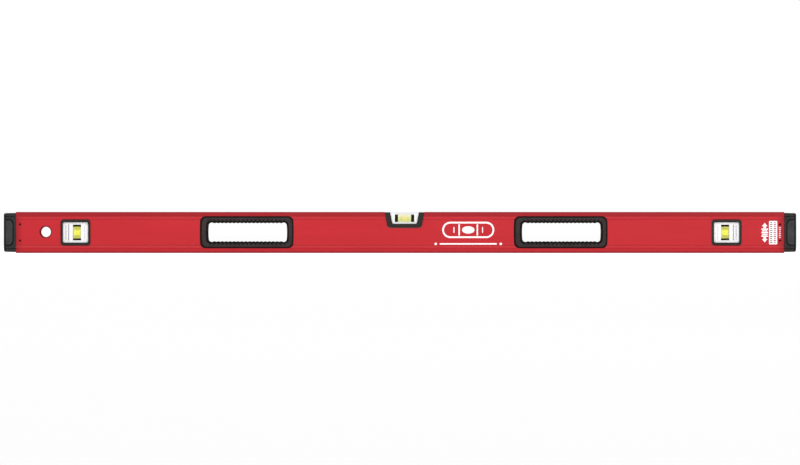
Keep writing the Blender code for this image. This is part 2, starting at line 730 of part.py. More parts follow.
def add_plumb_window(side, finishes):
    """One window near an end, whose vial stands upright."""
    name = "plumb_left" if side < 0 else "plumb_right"
    inward = -side
    place = (plumb_x(side), 0.0, MID)
    vial_x = inward * PLUMB_VIAL_SHIFT
    vial_place = (plumb_x(side) + vial_x, 0.0, MID)
    add_vial(name, ("lower", "upper"), PLUMB_BLOCK, PLUMB_BORE_RADIUS, PLUMB_RING_PLACE,
             PLUMB_RING_HALF, PLUMB_BUBBLE_HALF, vial_place, 0.0, finishes)

    mesh = bmesh.new()
    half_width, _, half_length = PLUMB_BLOCK
    slot = shifted(box_outline(half_width + FIT, half_length + FIT), vial_x)
    outlines = [rectangle(*PLUMB_HOUSING), slot]
    add_hollow_prism(mesh, outlines, along_y, -HOUSING_HALF_DEPTH, HOUSING_HALF_DEPTH)
    add_piece(name + "_housing", mesh, finishes["white_plastic"], place)

    for facing, end in ((-1, "front"), (1, "rear")):
        bezel = [
            (rectangle(*PLUMB_FLANGE), facing * BEZEL_FACE),
            (rectangle(*PLUMB_FLANGE), facing * BEZEL_FLANGE_BACK),
            (rectangle(*PLUMB_COLLAR), facing * BEZEL_FLANGE_BACK),
            (rectangle(*PLUMB_COLLAR), facing * BEZEL_BACK),
            (rectangle(*PLUMB_LENS_SEAT), facing * BEZEL_BACK),
            (rectangle(*PLUMB_LENS_SEAT), facing * BEZEL_LIP_BACK),
            (rectangle(*PLUMB_VIEW), facing * BEZEL_LIP_BACK),
            (rectangle(*PLUMB_VIEW), facing * BEZEL_FACE),
        ]
        mesh = bmesh.new()
        add_ring(mesh, bezel, along_y)
        add_piece(name + "_bezel_" + end, mesh, finishes["dark_plastic"], place)
        prism_piece(name + "_lens_" + end, rectangle(*PLUMB_LENS), along_y,
                    facing * LENS_BACK, facing * LENS_FACE, finishes["clear_acrylic"], place)

    path = [
        (PLUMB_BRACKET_END, BRACKET_EAR),
        (PLUMB_BRACKET_WEB, BRACKET_EAR),
        (PLUMB_BRACKET_WEB, -BRACKET_EAR),
        (PLUMB_BRACKET_END, -BRACKET_EAR),
    ]
    if inward < 0:
        path = [(-across, up) for across, up in reversed(path)]
    add_bracket(name + "_bracket", path, [inward * PLUMB_SCREW_PLACE], place, finishes)
    screw_place = (plumb_x(side) + inward * PLUMB_SCREW_PLACE, 0.0, MID)
    add_screw(name + "_screw_upper", screw_place, 1, finishes)
    add_screw(name + "_screw_lower", screw_place, -1, finishes)


# Level window

def add_shoulders(mesh, facing):
    """The two blocks that close the notch in the beam's top wall beside the top lens."""
    slope = (LEVEL_OUTER_TOP_HALF - LEVEL_OUTER_LOW_HALF) / (MID - LEVEL_OUTER_LOW)
    inner = LEVEL_HOUSING_TOP_HALF + FIT
    low_reach = LEVEL_OUTER_TOP_HALF - (MID - LEVEL_SHOULDER_LOW) * slope
    top_reach = LEVEL_OUTER_TOP_HALF - (MID - LEVEL_TOP) * slope
    for side in (-1, 1):
        outline = [
            (side * inner, LEVEL_SHOULDER_LOW),
            (side * low_reach, LEVEL_SHOULDER_LOW),
            (side * top_reach, LEVEL_TOP),
            (side * inner, LEVEL_TOP),
        ]
        add_prism(mesh, outline, along_y, facing * GRIP_MEETING, facing * LENS_BACK)


def add_level_bezel(name, facing, place, finishes):
    """One face of the window: a U open at the top, with a seat for the lens behind its lip."""
    frame = level_outer(LEVEL_TOP) + level_view(LEVEL_TOP)[::-1]
    mesh = bmesh.new()
    add_prism(mesh, frame, along_y, facing * BEZEL_BACK, facing * BEZEL_FACE)
    bezel = add_piece(name, mesh, finishes["dark_plastic"], place)

    mesh = bmesh.new()
    seat = level_view(MID + PAST, LEVEL_LENS_MARGIN)
    add_prism(mesh, seat, along_y, facing * (BEZEL_BACK - PAST), facing * BEZEL_LIP_BACK)
    combine(bezel, add_cutter(name + "_seat", mesh, finishes["steel"], place), "DIFFERENCE")

    mesh = bmesh.new()
    add_shoulders(mesh, facing)
    combine(bezel, add_cutter(name + "_shoulders", mesh, finishes["steel"], place), "UNION")


def add_level_housing(place, finishes):
    """The white U that holds the vial from below and at both ends."""
    _, _, half_length = LEVEL_BLOCK
    inner_half = half_length + FIT
    inner_low = LEVEL_VIAL_HEIGHT - LEVEL_BLOCK[0] - FIT
    outline = [
        (-LEVEL_HOUSING_TOP_HALF, LEVEL_HOUSING_TOP),
        (-LEVEL_HOUSING_LOW_HALF, LEVEL_HOUSING_LOW),
        (LEVEL_HOUSING_LOW_HALF, LEVEL_HOUSING_LOW),
        (LEVEL_HOUSING_TOP_HALF, LEVEL_HOUSING_TOP),
        (inner_half, LEVEL_HOUSING_TOP),
        (inner_half, inner_low),
        (-inner_half, inner_low),
        (-inner_half, LEVEL_HOUSING_TOP),
    ]
    prism_piece("level_housing", outline, along_y, -HOUSING_HALF_DEPTH, HOUSING_HALF_DEPTH,
                finishes["white_plastic"], place)


def add_level_window(finishes):
    """The window in the beam's top edge, whose vial lies along the beam."""
    place = (LEVEL_X, 0.0, MID)
    vial_place = (LEVEL_X, 0.0, MID + LEVEL_VIAL_HEIGHT)
    add_vial("level", ("left", "right"), LEVEL_BLOCK, LEVEL_BORE_RADIUS, LEVEL_RING_PLACE,
             LEVEL_RING_HALF, LEVEL_BUBBLE_HALF, vial_place, math.pi / 2, finishes)
    add_level_housing(place, finishes)

    lens = level_view(LEVEL_TOP, LEVEL_LENS_MARGIN - FIT)
    for facing, end in ((-1, "front"), (1, "rear")):
        add_level_bezel("level_bezel_" + end, facing, place, finishes)
        prism_piece("level_lens_" + end, lens, along_y, facing * LENS_BACK, facing * LENS_FACE,
                    finishes["clear_acrylic"], place)
    top_lens = box_outline(LEVEL_TOP_LENS_HALF_LENGTH, LEVEL_TOP_LENS_HALF_WIDTH)
    prism_piece("level_lens_top", top_lens, along_z, LEVEL_TOP_LENS_LOW, LEVEL_TOP,
                finishes["clear_acrylic"], place)

    right = [
        (LEVEL_BRACKET_END, BRACKET_EAR),
        (LEVEL_BRACKET_LEG_TOP, BRACKET_EAR),
        (LEVEL_BRACKET_BASE_HALF, LEVEL_BRACKET_BASE),
    ]
    path = right + [(-across, up) for across, up in reversed(right)]
    screws = (("left", -LEVEL_SCREW_PLACE), ("right", LEVEL_SCREW_PLACE))
    add_bracket("level_bracket", path, [across for _, across in screws], place, finishes)
    for end, across in screws:
        add_screw("level_screw_" + end, (LEVEL_X + across, 0.0, MID), 1, finishes)


def main():
    for item in list(bpy.data.objects):
        bpy.data.objects.remove(item)
    finishes = make_finishes()
    add_beam(finishes)
    for side in (-1, 1):
        add_end_cap(side, finishes)
        add_plumb_window(side, finishes)
        for facing in (-1, 1):
            add_grip_half(side, facing, finishes)
    add_level_window(finishes)


main()
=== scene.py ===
"""The looks of a 1.22 m spirit level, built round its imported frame. Metres, +Z up.

Every new piece is modelled about the beam's mid-height, and settle() lifts its mesh to the frame's
own heights, so its place is in its mesh. The beam's size and the pieces' places along it come from
the frame.
"""
import math

import bmesh
import bpy
from mathutils import Matrix, Vector


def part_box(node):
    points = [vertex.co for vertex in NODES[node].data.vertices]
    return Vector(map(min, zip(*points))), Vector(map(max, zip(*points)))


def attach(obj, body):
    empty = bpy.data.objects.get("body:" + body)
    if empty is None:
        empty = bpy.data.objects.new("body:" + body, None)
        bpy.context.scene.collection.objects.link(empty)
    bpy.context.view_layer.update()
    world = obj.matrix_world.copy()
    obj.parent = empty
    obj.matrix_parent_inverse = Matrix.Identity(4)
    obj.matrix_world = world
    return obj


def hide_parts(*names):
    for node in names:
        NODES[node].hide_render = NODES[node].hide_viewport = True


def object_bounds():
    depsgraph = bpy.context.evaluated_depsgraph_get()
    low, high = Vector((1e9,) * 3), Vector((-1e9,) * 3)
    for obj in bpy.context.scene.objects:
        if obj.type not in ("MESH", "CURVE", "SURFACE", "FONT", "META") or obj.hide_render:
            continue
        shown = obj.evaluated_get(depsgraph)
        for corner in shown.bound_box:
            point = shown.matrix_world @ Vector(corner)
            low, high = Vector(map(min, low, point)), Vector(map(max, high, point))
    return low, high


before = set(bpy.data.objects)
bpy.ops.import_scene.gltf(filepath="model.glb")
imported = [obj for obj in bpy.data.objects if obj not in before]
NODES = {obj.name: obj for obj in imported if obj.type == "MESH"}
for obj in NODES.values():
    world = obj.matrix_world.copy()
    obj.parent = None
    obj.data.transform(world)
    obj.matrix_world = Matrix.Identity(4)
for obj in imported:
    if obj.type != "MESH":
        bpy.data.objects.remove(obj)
CAD_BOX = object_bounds()

MM = 0.001
CORNER_STEPS = 10
ROUND_STEPS = 64
DRILLED_STEPS = 48
SMOOTH_ANGLE = math.radians(32)
FIT = 0.3 * MM                      # the gap between neighbouring pieces
PAST = 2.0 * MM                     # how far a cutter runs past what it cuts
ROOT_BODY = "beam_body"
SIDES = {-1: "left", 1: "right"}    # what a piece's name says for each sign of x
FACES = {-1: "front", 1: "rear"}    # and of y

# Beam. Depths are from its middle plane, heights from its mid-height
BEAM_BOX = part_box("beam")
BEAM_END = BEAM_BOX[1].x
BEAM_HALF_HEIGHT = BEAM_BOX[1].z / 2
MID = BEAM_HALF_HEIGHT
RAIL_FACE = BEAM_BOX[1].y
PANEL_FACE = 13.0 * MM
STEP_FACE = 13.2 * MM
RIDGE_FACE = 13.9 * MM
GROOVE_FACE = 12.5 * MM
RAIL_END = 6.0 * MM                 # these five are down from the top edge, or up from the lower
STEP_START = 6.5 * MM
RIDGE_DOWN = 8.6 * MM
GROOVE_DOWN = 11.7 * MM
PANEL_START = 12.4 * MM
CHAMBER_HALF_WIDTH = 11.2 * MM
RIB_INNER = 20.0 * MM
RIB_OUTER = 21.8 * MM
FLANGE_INNER = BEAM_HALF_HEIGHT - 4.0 * MM
RIB_CUT_DEPTH = 11.0 * MM
HANG_HOLE = (-545.2 * MM, 0.9 * MM)
HANG_HOLE_RADIUS = 8.0 * MM
HANG_HOLE_FLARE = 1.6 * MM
LATCH_FROM_END = 6.5 * MM
LATCH_HEIGHT = 12.5 * MM
LATCH_HOLE_RADIUS = 1.6 * MM
LATCH_HOLE_FLARE = 0.3 * MM

# End caps
CAP_LENGTH = CAD_BOX[1].x - BEAM_END
CAP_HALF_HEIGHT = 30.1 * MM
CAP_HALF_WIDTH = 14.0 * MM
CAP_CORNER = 1.8 * MM
CAP_INNER_EDGE = 0.35 * MM
CAP_END_ROUND = 1.7 * MM            # how far the outer end turns in, and over what length
CAP_ROUND_LENGTH = 3.2 * MM
CAP_CORNER_DROP = 2.4 * MM          # how much its height drops there, after a slight taper
CAP_TAPER = 0.25 * MM
CAP_LINE_HEIGHT = 24.6 * MM
CAP_LINE_HALF = 0.8 * MM
CAP_LINE_DEPTH = 0.9 * MM
PLUG_HALF_WIDTH = 10.9 * MM
PLUG_HALF_HEIGHT = 19.7 * MM
PLUG_LENGTH = 28.0 * MM
PLUG_WALL = 2.2 * MM
PLUG_LEAD = (1.0 * MM, 2.5 * MM)    # how much smaller its tip is, and over what length
BUMPER_START = 4.9 * MM
BUMPER_SMALL_HALF = 11.5 * MM
BUMPER_LARGE_HALF = 19.0 * MM
BUMPER_ARC_REACH = 6.0 * MM
BUMPER_ARC_STEPS = 14
BUMPER_END_THICKNESS = 3.4 * MM
BUMPER_EDGE = 0.8 * MM
BUMPER_GROOVE = 0.9 * MM            # width and depth of the dark groove round it
BUMPER_GROOVE_DEPTH = 2.4 * MM
BUMPER_GROOVE_FLARE = (0.25 * MM, 0.4 * MM)         # how much it widens, over the last depth
BUMPER_GAP = 0.05 * MM

# Grips
GRIP_HEIGHT = 0.4 * MM
GRIP_HALF_LENGTH = 71.2 * MM
GRIP_HALF_HEIGHT = 24.6 * MM
GRIP_CORNER = 7.5 * MM
GRIP_BOW = 1.0 * MM                 # how far the ends bulge, over this last part of the length
GRIP_BOW_PART = 0.15
GRIP_FACE = 14.2 * MM
GRIP_LIP = 2.9 * MM                 # how far its face starts from the hand opening
GRIP_LINING = 2.0 * MM
GRIP_SKIN_BACK = 13.0 * MM
GRIP_MEETING = 0.15 * MM
GRIP_END_STEPS = 9
HAND_SHIFT = 1.3 * MM
HAND_HALF_LENGTH = 59.7 * MM
HAND_HALF_HEIGHT = 14.9 * MM
HAND_CORNER = 4.0 * MM
RIB_PITCH = 6.03 * MM
RIB_RISE = 1.0 * MM
RIB_REACH = 6.0 * MM                # how far the ribs run out over the face
RIB_FACE_DEPTH = 0.6 * MM
RIB_COUNT = 18
RIB_STEPS = 8

# Bezels and reflector housings. Depths are from the middle plane
BEZEL_FACE = 14.2 * MM
BEZEL_FLANGE_BACK = 13.3 * MM
BEZEL_LIP_BACK = 12.6 * MM
BEZEL_BACK = 10.4 * MM
BEZEL_BAND = 3.8 * MM               # from the view's edge to the outer edge
BEZEL_EDGE = 0.7 * MM
HOUSING_FACE = 10.1 * MM

# Plumb windows: (half width, half height, corner radius)
PLUMB_FLANGE = (23.0 * MM, 19.9 * MM, 4.5 * MM)
PLUMB_CUT = (21.6 * MM, 18.3 * MM, 3.8 * MM)
PLUMB_VIEW = (19.3 * MM, 15.5 * MM, 2.2 * MM)
PLUMB_HOUSING = (20.2 * MM, 17.7 * MM, 2.0 * MM)
PLUMB_APERTURE = (6.5 * MM, 12.15 * MM, 0.8 * MM)
PLUMB_VIAL_SHIFT = 2.0 * MM
TICK_CORNER = 0.2 * MM

# Level window: (top half width, low half width, low edge, corner radius)
LEVEL_OUTER = (30.6 * MM, 26.2 * MM, 7.1 * MM, 6.0 * MM)
LEVEL_VIEW = (22.1 * MM, 18.7 * MM, 13.5 * MM, 2.0 * MM)
LEVEL_TOP = 31.2 * MM
LEVEL_NOTCH_GAP = 0.05 * MM
LEVEL_LENS_MARGIN = 1.2 * MM
LEVEL_SHOULDER_LOW = 20.0 * MM
LEVEL_SHOULDER_INNER = 23.5 * MM
LEVEL_SHOULDER_DEPTH = 11.0 * MM
LEVEL_HOUSING_HALVES = (23.2 * MM, 20.8 * MM)       # half widths at its top and low edges
LEVEL_HOUSING_TOP = 29.2 * MM
LEVEL_HOUSING_LOW = 10.9 * MM
LEVEL_APERTURE = (15.2 * MM, 15.0 * MM)             # half width, low edge
LEVEL_VIAL_HEIGHT = 22.0 * MM

# Vials. A block's half sizes are two across the vial, then one along it
PLUMB_BLOCK = (7.6 * MM, 8.0 * MM, 15.6 * MM)
LEVEL_BLOCK = (8.0 * MM, 7.2 * MM, 19.0 * MM)
BLOCK_CORNER = 0.8 * MM
BLOCK_EDGE = 0.5 * MM
VIAL_END_WALL = 1.8 * MM
BORE_STEPS = 24
BORE_RISE = 0.05 * MM               # a barrel-shaped bore is this much wider at its middle
LIQUID_FROM_END = 0.25 * MM
LIQUID_GAP = 0.12 * MM
LIQUID_NECK = 1.2 * MM              # how far the liquid narrows inside each ring
RING_GAP = 0.05 * MM                # round a ring
RING_SIDE_GAP = 0.08 * MM
RING_REACH = 1.0 * MM               # from the bore's wall to a ring's inner side
BUBBLE_DOME = 3.2 * MM
BUBBLE_STEPS = 12

# Painted shade: where each starts and ends, and how dark it is there, from 0 to 1
TOP_RAIL_SHADE = (22.9 * MM, 26.3 * MM, 0.0, 0.56)      # these four by height
LOW_RAIL_SHADE = (-24.0 * MM, -26.5 * MM, 0.0, 0.14)
LOW_EDGE_SHADE = (-28.2 * MM, -29.4 * MM, 0.0, 0.62)
RAIL_EDGE_SHADE = (29.9 * MM, 30.7 * MM, 0.0, 0.72)
BEAM_END_SHADE = (0.5 * MM, 11.0 * MM, 0.62, 0.0)       # from the beam's end inward
HANG_HOLE_SHADE = (1.2 * MM, 2.1 * MM, 0.9, 0.0)        # from the hole's edge outward
RECESS_SHADE = (12.0 * MM, 12.95 * MM, 0.95, 0.0)       # these three by depth
RUBBER_SLOPE_SHADE = (13.7 * MM, 14.18 * MM, 0.97, 0.0)
CAP_SUNK_SHADE = (12.9 * MM, 13.6 * MM, 1.0, 0.0)
CAP_INSIDE_SHADE = (26.5 * MM, 27.5 * MM, 1.0, 0.0)     # these two by height
CAP_EDGE_SHADE = (28.2 * MM, 29.4 * MM, 0.0, 0.9)
CAP_TIP_SHADE = (-4.0 * MM, -2.0 * MM, 0.0, 0.95)       # from the cap's tip
BUBBLE_END_SHADE = (-1.9 * MM, -1.2 * MM, 0.0, 1.0)     # from the bubble's tip


# Directions for prisms and lofts: two coordinates of an outline, then the level

def along_x(u, v, level):
    return Vector((level, u, v))


def along_y(u, v, level):
    return Vector((u, level, v))


def along_z(u, v, level):
    return Vector((u, v, level))


# Outlines

def rounded(corners, radii, steps=CORNER_STEPS):
    """The closed outline through the corners, each turned into an arc of its own radius."""
    if not isinstance(radii, (list, tuple)):
        radii = [radii] * len(corners)
    points = []
    for index, corner in enumerate(corners):
        radius = radii[index]
        here = Vector(corner)
        if radius <= 0:
            points.append(tuple(here))
            continue
        before = (Vector(corners[index - 1]) - here).normalized()
        after = (Vector(corners[(index + 1) % len(corners)]) - here).normalized()
        half_angle = before.angle(after) / 2
        centre = here + (before + after).normalized() * (radius / math.sin(half_angle))
        reach = radius / math.tan(half_angle)
        start = here + before * reach - centre
        end = here + after * reach - centre
        sweep = start.angle(end)
        for step in range(steps + 1):
            part = step / steps
            spoke = start * math.sin((1 - part) * sweep) + end * math.sin(part * sweep)
            points.append(tuple(centre + spoke / math.sin(sweep)))
    return points


def rounded_pairs(pairs, steps):
    """The same outline from a list of corners, each paired with its radius."""
    return rounded([corner for corner, _ in pairs], [radius for _, radius in pairs], steps)


def mirrored(quarter, steps):
    """A whole section from the pairs of corner and radius of its upper right quarter."""
    right = quarter + [((across, -up), radius) for (across, up), radius in reversed(quarter)]
    whole = right + [((-across, up), radius) for (across, up), radius in reversed(right)]
    return rounded_pairs(whole, steps)


def box_between(left, right, low, high):
    return [(left, low), (right, low), (right, high), (left, high)]


def box_outline(half_width, half_height, middle=(0.0, 0.0)):
    across, up = middle
    return box_between(across - half_width, across + half_width, up - half_height, up + half_height)


def rectangle(half_width, half_height, radius, middle=(0.0, 0.0), steps=CORNER_STEPS):
    return rounded(box_outline(half_width, half_height, middle), radius, steps)


def ellipse(half_width, half_height, steps, middle):
    across, up = middle
    turns = [2 * math.pi * step / steps for step in range(steps)]
    return [(across + half_width * math.cos(a), up + half_height * math.sin(a)) for a in turns]


def circle(radius, steps=ROUND_STEPS, middle=(0.0, 0.0)):
    return ellipse(radius, radius, steps, middle)


def bar_column(middle, count, pitch, half_widths, half_height, corner):
    """Rounded bars one above another round a middle, with the half widths taken in turn."""
    across, up = middle
    bars = []
    for row in range(count):
        half_width = half_widths[row % len(half_widths)]
        place = (across, up + (row - (count - 1) / 2) * pitch)
        bars.append(rectangle(half_width, half_height, corner, place, 3))
    return bars


def between(inner, outer, part):
    """The outline that lies the given part of the way from the inner to the outer one."""
    mixed = []
    for (u0, v0), (u1, v1) in zip(inner, outer):
        mixed.append((u0 + (u1 - u0) * part, v0 + (v1 - v0) * part))
    return mixed


def shifted(outline, across, up=0.0):
    return [(u + across, v + up) for u, v in outline]


# Meshes

def add_loops(mesh, stations, along):
    """Add a loop of vertices for each station. Its level is one number, or one for each point."""
    loops = []
    for outline, level in stations:
        levels = level if isinstance(level, list) else [level] * len(outline)
        loops.append([mesh.verts.new(along(u, v, w)) for (u, v), w in zip(outline, levels)])
    return loops


def skin(mesh, last, loop):
    for index in range(len(loop)):
        mesh.faces.new((last[index - 1], last[index], loop[index], loop[index - 1]))


def add_loft(mesh, stations, along):
    """Add a solid skinned over its stations, each an outline and a level, closed at both ends."""
    loops = add_loops(mesh, stations, along)
    for last, loop in zip(loops, loops[1:]):
        skin(mesh, last, loop)
    mesh.faces.new(loops[0])
    mesh.faces.new(loops[-1])


def add_ring(mesh, stations, along):
    """Add a closed ring. Each station is one point of its cross-section: an outline and a level."""
    loops = add_loops(mesh, stations, along)
    for number, loop in enumerate(loops):
        skin(mesh, loops[number - 1], loop)


def add_prism(mesh, outline, along, low, high):
    add_loft(mesh, [(outline, low), (outline, high)], along)


def add_hollow_prism(mesh, outlines, along, low, high):
    """Add a prism whose section is the first outline with the others as holes in it."""
    edges = []
    for outline in outlines:
        verts = [mesh.verts.new(along(u, v, low)) for u, v in outline]
        for index, vert in enumerate(verts):
            edges.append(mesh.edges.new((verts[index - 1], vert)))
    filled = bmesh.ops.triangle_fill(mesh, use_beauty=True, edges=edges)
    caps = [item for item in filled["geom"] if isinstance(item, bmesh.types.BMFace)]
    grown = bmesh.ops.extrude_face_region(mesh, geom=caps)
    top = [item for item in grown["geom"] if isinstance(item, bmesh.types.BMVert)]
    bmesh.ops.translate(mesh, verts=top, vec=along(0.0, 0.0, high - low))


def add_turned(mesh, profile, along, middle, closed, steps=ROUND_STEPS):
    """Turn a profile of (radius, level) points about an axis that crosses its plane at middle."""
    stations = [(circle(radius, steps, middle), level) for radius, level in profile]
    if closed:
        add_ring(mesh, stations, along)
    else:
        add_loft(mesh, stations, along)


def smooth(data):
    data.shade_smooth()
    data.set_sharp_from_angle(angle=SMOOTH_ANGLE)


def make_object(name, mesh, material):
    bmesh.ops.recalc_face_normals(mesh, faces=mesh.faces)
    data = bpy.data.meshes.new(name)
    mesh.to_mesh(data)
    mesh.free()
    data.materials.append(material)
    smooth(data)
    piece = bpy.data.objects.new(name, data)
    bpy.context.scene.collection.objects.link(piece)
    return piece


def lofted(name, stations, along, material):
    mesh = bmesh.new()
    add_loft(mesh, stations, along)
    return make_object(name, mesh, material)


def ringed(name, stations, along, material):
    mesh = bmesh.new()
    add_ring(mesh, stations, along)
    return make_object(name, mesh, material)


def apply_modifiers(piece):
    """Turn the piece's modifiers into its mesh, and set its sharp edges again."""
    bpy.context.view_layer.update()
    graph = bpy.context.evaluated_depsgraph_get()
    data = bpy.data.meshes.new_from_object(piece.evaluated_get(graph))
    piece.modifiers.clear()
    piece.data = data
    smooth(data)


def combine(piece, mesh, operation):
    """Cut the piece by a mesh, or join the mesh to it, and remove the tool that did it."""
    tool = make_object(piece.name + "_tool", mesh, piece.data.materials[0])
    boolean = piece.modifiers.new("combine", "BOOLEAN")
    boolean.operation = operation
    boolean.solver = "EXACT"
    boolean.object = tool
    apply_modifiers(piece)
    data = tool.data
    bpy.data.objects.remove(tool)
    bpy.data.meshes.remove(data)


def combine_loft(piece, stations, along, operation="DIFFERENCE"):
    tool = bmesh.new()
    add_loft(tool, stations, along)
    combine(piece, tool, operation)


def cut_prism(piece, outline, along, low, high):
    combine_loft(piece, [(outline, low), (outline, high)], along)


def settle(piece, slot, *nodes, body=ROOT_BODY):
    """Lift the mesh to its place, ride it on its body and hide the CAD nodes it stands for. Its slot
    is not used.
    """
    piece.data.transform(Matrix.Translation((0.0, 0.0, MID)))
    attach(piece, body)
    if nodes:
        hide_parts(*nodes)


# Materials

WHITE = (1.0, 1.0, 1.0, 1.0)


def srgb(red, green, blue):
    """A linear colour from the 0 to 255 values of a colour chip."""
    linear = []
    for value in (red, green, blue):
        part = value / 255
        linear.append(part / 12.92 if part <= 0.04045 else ((part + 0.055) / 1.055) ** 2.4)
    return (*linear, 1.0)


def even(scale):
    return (scale, scale, scale)


class Surface:
    """A Principled material and short calls for the nodes that feed it."""

    def __init__(self, name, roughness, **constants):
        self.material = bpy.data.materials.new(name)
        self.material.use_nodes = True
        self.nodes = self.material.node_tree.nodes
        self.links = self.material.node_tree.links
        self.shader = self.nodes["Principled BSDF"]
        self.shader.inputs["Roughness"].default_value = roughness
        for label, value in constants.items():
            self.shader.inputs[label.replace("_", " ")].default_value = value
        self.place = self.nodes.new("ShaderNodeTexCoord").outputs["Object"]

    def join(self, value, socket):
        """Link a node's output to a socket, or set the socket's constant."""
        if isinstance(value, (int, float, tuple)):
            socket.default_value = value
        else:
            self.links.new(value, socket)

    def node(self, kind, inputs):
        """A shader node with the named inputs set or linked."""
        node = self.nodes.new(kind)
        for label, value in inputs.items():
            self.join(value, node.inputs[label])
        return node

    def stretched(self, scale):
        """Object coordinates multiplied by a scale for each axis."""
        return self.node("ShaderNodeMapping", {"Scale": scale, "Vector": self.place}).outputs["Vector"]

    def noise(self, scale, detail=3.0):
        inputs = {"Scale": 1.0, "Detail": detail, "Roughness": 0.55, "Vector": self.stretched(scale)}
        return self.node("ShaderNodeTexNoise", inputs).outputs["Fac"]

    def cells(self, scale):
        cells = self.node("ShaderNodeTexVoronoi", {"Scale": 1.0, "Vector": self.stretched(scale)})
        cells.feature = "SMOOTH_F1"
        return cells.outputs["Distance"]

    def blend(self, value, first, second, low=0.3, high=0.7):
        """A colour ramp between two linear colours, over the values from low to high."""
        ramp = self.node("ShaderNodeValToRGB", {"Fac": value})
        for stop, place, colour in zip(ramp.color_ramp.elements, (low, high), (first, second)):
            stop.position = place
            stop.color = colour
        return ramp.outputs["Color"]

    def map_range(self, value, low, high, to_low, to_high):
        limits = {"From Min": low, "From Max": high, "To Min": to_low, "To Max": to_high}
        return self.node("ShaderNodeMapRange", {"Value": value, **limits}).outputs["Result"]

    def axis(self, index):
        return self.node("ShaderNodeSeparateXYZ", {"Vector": self.place}).outputs[index]

    def math(self, operation, first, second=None):
        node = self.node("ShaderNodeMath", {})
        node.operation = operation
        self.join(first, node.inputs[0])
        if second is not None:
            self.join(second, node.inputs[1])
        return node.outputs["Value"]

    def away(self, index, place=0.0):
        """How far a point is from a place on one axis."""
        return self.math("ABSOLUTE", self.math("SUBTRACT", self.axis(index), place))

    def largest(self, first, *others):
        for other in others:
            first = self.math("MAXIMUM", first, other)
        return first

    def mix(self, part, first, second):
        node = self.nodes.new("ShaderNodeMix")
        node.data_type = "RGBA"
        for label, value in (("Factor", part), ("A", first), ("B", second)):
            self.join(value, [s for s in node.inputs if s.name == label and s.enabled][0])
        return [s for s in node.outputs if s.enabled][0]

    def bump(self, *layers):
        """Bump from (height, strength, distance) layers, one over the other."""
        normal = {}
        for height, strength, distance in layers:
            inputs = {"Strength": strength, "Distance": distance, "Height": height, **normal}
            normal = {"Normal": self.node("ShaderNodeBump", inputs).outputs["Normal"]}
        self.feed("Normal", normal["Normal"])

    def feed(self, label, value):
        self.links.new(value, self.shader.inputs[label])

    def paint(self, value, first, second, low=0.3, high=0.7):
        self.feed("Base Color", self.blend(value, first, second, low, high))

    def roughen(self, value, smooth, rough, low=0.3, high=0.7):
        """Roughness that goes from smooth to rough over the values from low to high."""
        self.feed("Roughness", self.map_range(value, low, high, smooth, rough))


def red_paint():
    """Satin powder coat with orange peel and faint extrusion lines.

    Painted shade darkens it along the rails and edges, in the recesses, at the ends and round the hang
    hole.
    """
    s = Surface("red_powder_coat", 0.42, Specular_IOR_Level=0.2)
    colour = s.blend(s.noise((6.0, 60.0, 60.0), 4.0), srgb(180, 31, 40), srgb(186, 34, 43))
    height = s.math("SUBTRACT", s.axis(2), MID)
    rails = s.math("ADD", s.map_range(height, *TOP_RAIL_SHADE), s.map_range(height, *LOW_RAIL_SHADE))
    across = s.math("POWER", s.math("SUBTRACT", s.axis(0), HANG_HOLE[0]), 2.0)
    up = s.math("POWER", s.math("SUBTRACT", height, HANG_HOLE[1]), 2.0)
    from_hole = s.math("SUBTRACT", s.math("SQRT", s.math("ADD", across, up)), HANG_HOLE_RADIUS)
    # painted shade: the darkest of the rail, edge, end, recess and hang-hole masks, mixed toward dark
    # red below
    shade = s.largest(
        rails,
        s.map_range(s.math("ABSOLUTE", height), *RAIL_EDGE_SHADE),
        s.map_range(height, *LOW_EDGE_SHADE),
        s.map_range(s.math("SUBTRACT", BEAM_END, s.away(0)), *BEAM_END_SHADE),
        s.map_range(s.away(1), *RECESS_SHADE),
        s.map_range(from_hole, *HANG_HOLE_SHADE),
    )
    s.feed("Base Color", s.mix(shade, colour, srgb(118, 12, 22)))
    s.roughen(s.noise(even(220.0)), 0.36, 0.48)
    lines = s.noise((3.0, 900.0, 900.0), 2.0)
    peel = s.noise(even(1500.0), 2.0)
    s.bump((lines, 0.12, 0.06 * MM), (peel, 0.22, 0.08 * MM))
    return s.material


def milled_aluminium():
    """The bare working faces: fine curved milling marks across the beam."""
    s = Surface("milled_aluminium", 0.3, Metallic=1.0)
    marks = {"Scale": 1.0, "Distortion": 1.4, "Detail": 2.0}
    wave = s.node("ShaderNodeTexWave", {"Vector": s.stretched((260.0, 9.0, 9.0)), **marks})
    wave.wave_type = "BANDS"
    wave.bands_direction = "X"
    grain = s.noise((1800.0, 140.0, 140.0), 3.0)
    s.paint(grain, srgb(196, 198, 201), srgb(226, 228, 230), 0.25, 0.75)
    s.roughen(wave.outputs["Fac"], 0.24, 0.38, 0.0, 1.0)
    s.bump((wave.outputs["Fac"], 0.25, 0.03 * MM), (grain, 0.15, 0.02 * MM))
    return s.material


def rubber():
    """Matt moulded rubber with a fine grain and a dusty bloom, and painted shade on its slopes."""
    s = Surface("moulded_rubber", 0.6, Specular_IOR_Level=0.12)
    face = s.blend(s.noise(even(90.0), 5.0), srgb(45, 38, 38), srgb(57, 49, 49))
    # painted shade on the slopes of the lip, the outer edge and the rib valleys
    s.feed("Base Color", s.mix(s.map_range(s.away(1), *RUBBER_SLOPE_SHADE), face, srgb(7, 4, 4)))
    s.roughen(s.noise(even(500.0)), 0.5, 0.68)
    s.bump((s.cells(even(1700.0)), 0.35, 0.09 * MM))
    return s.material


def eroded(s):
    """The fine spark-eroded texture of hard black plastic."""
    grain = s.noise(even(2600.0), 3.0)
    s.roughen(grain, 0.42, 0.62)
    s.bump((grain, 0.3, 0.06 * MM))


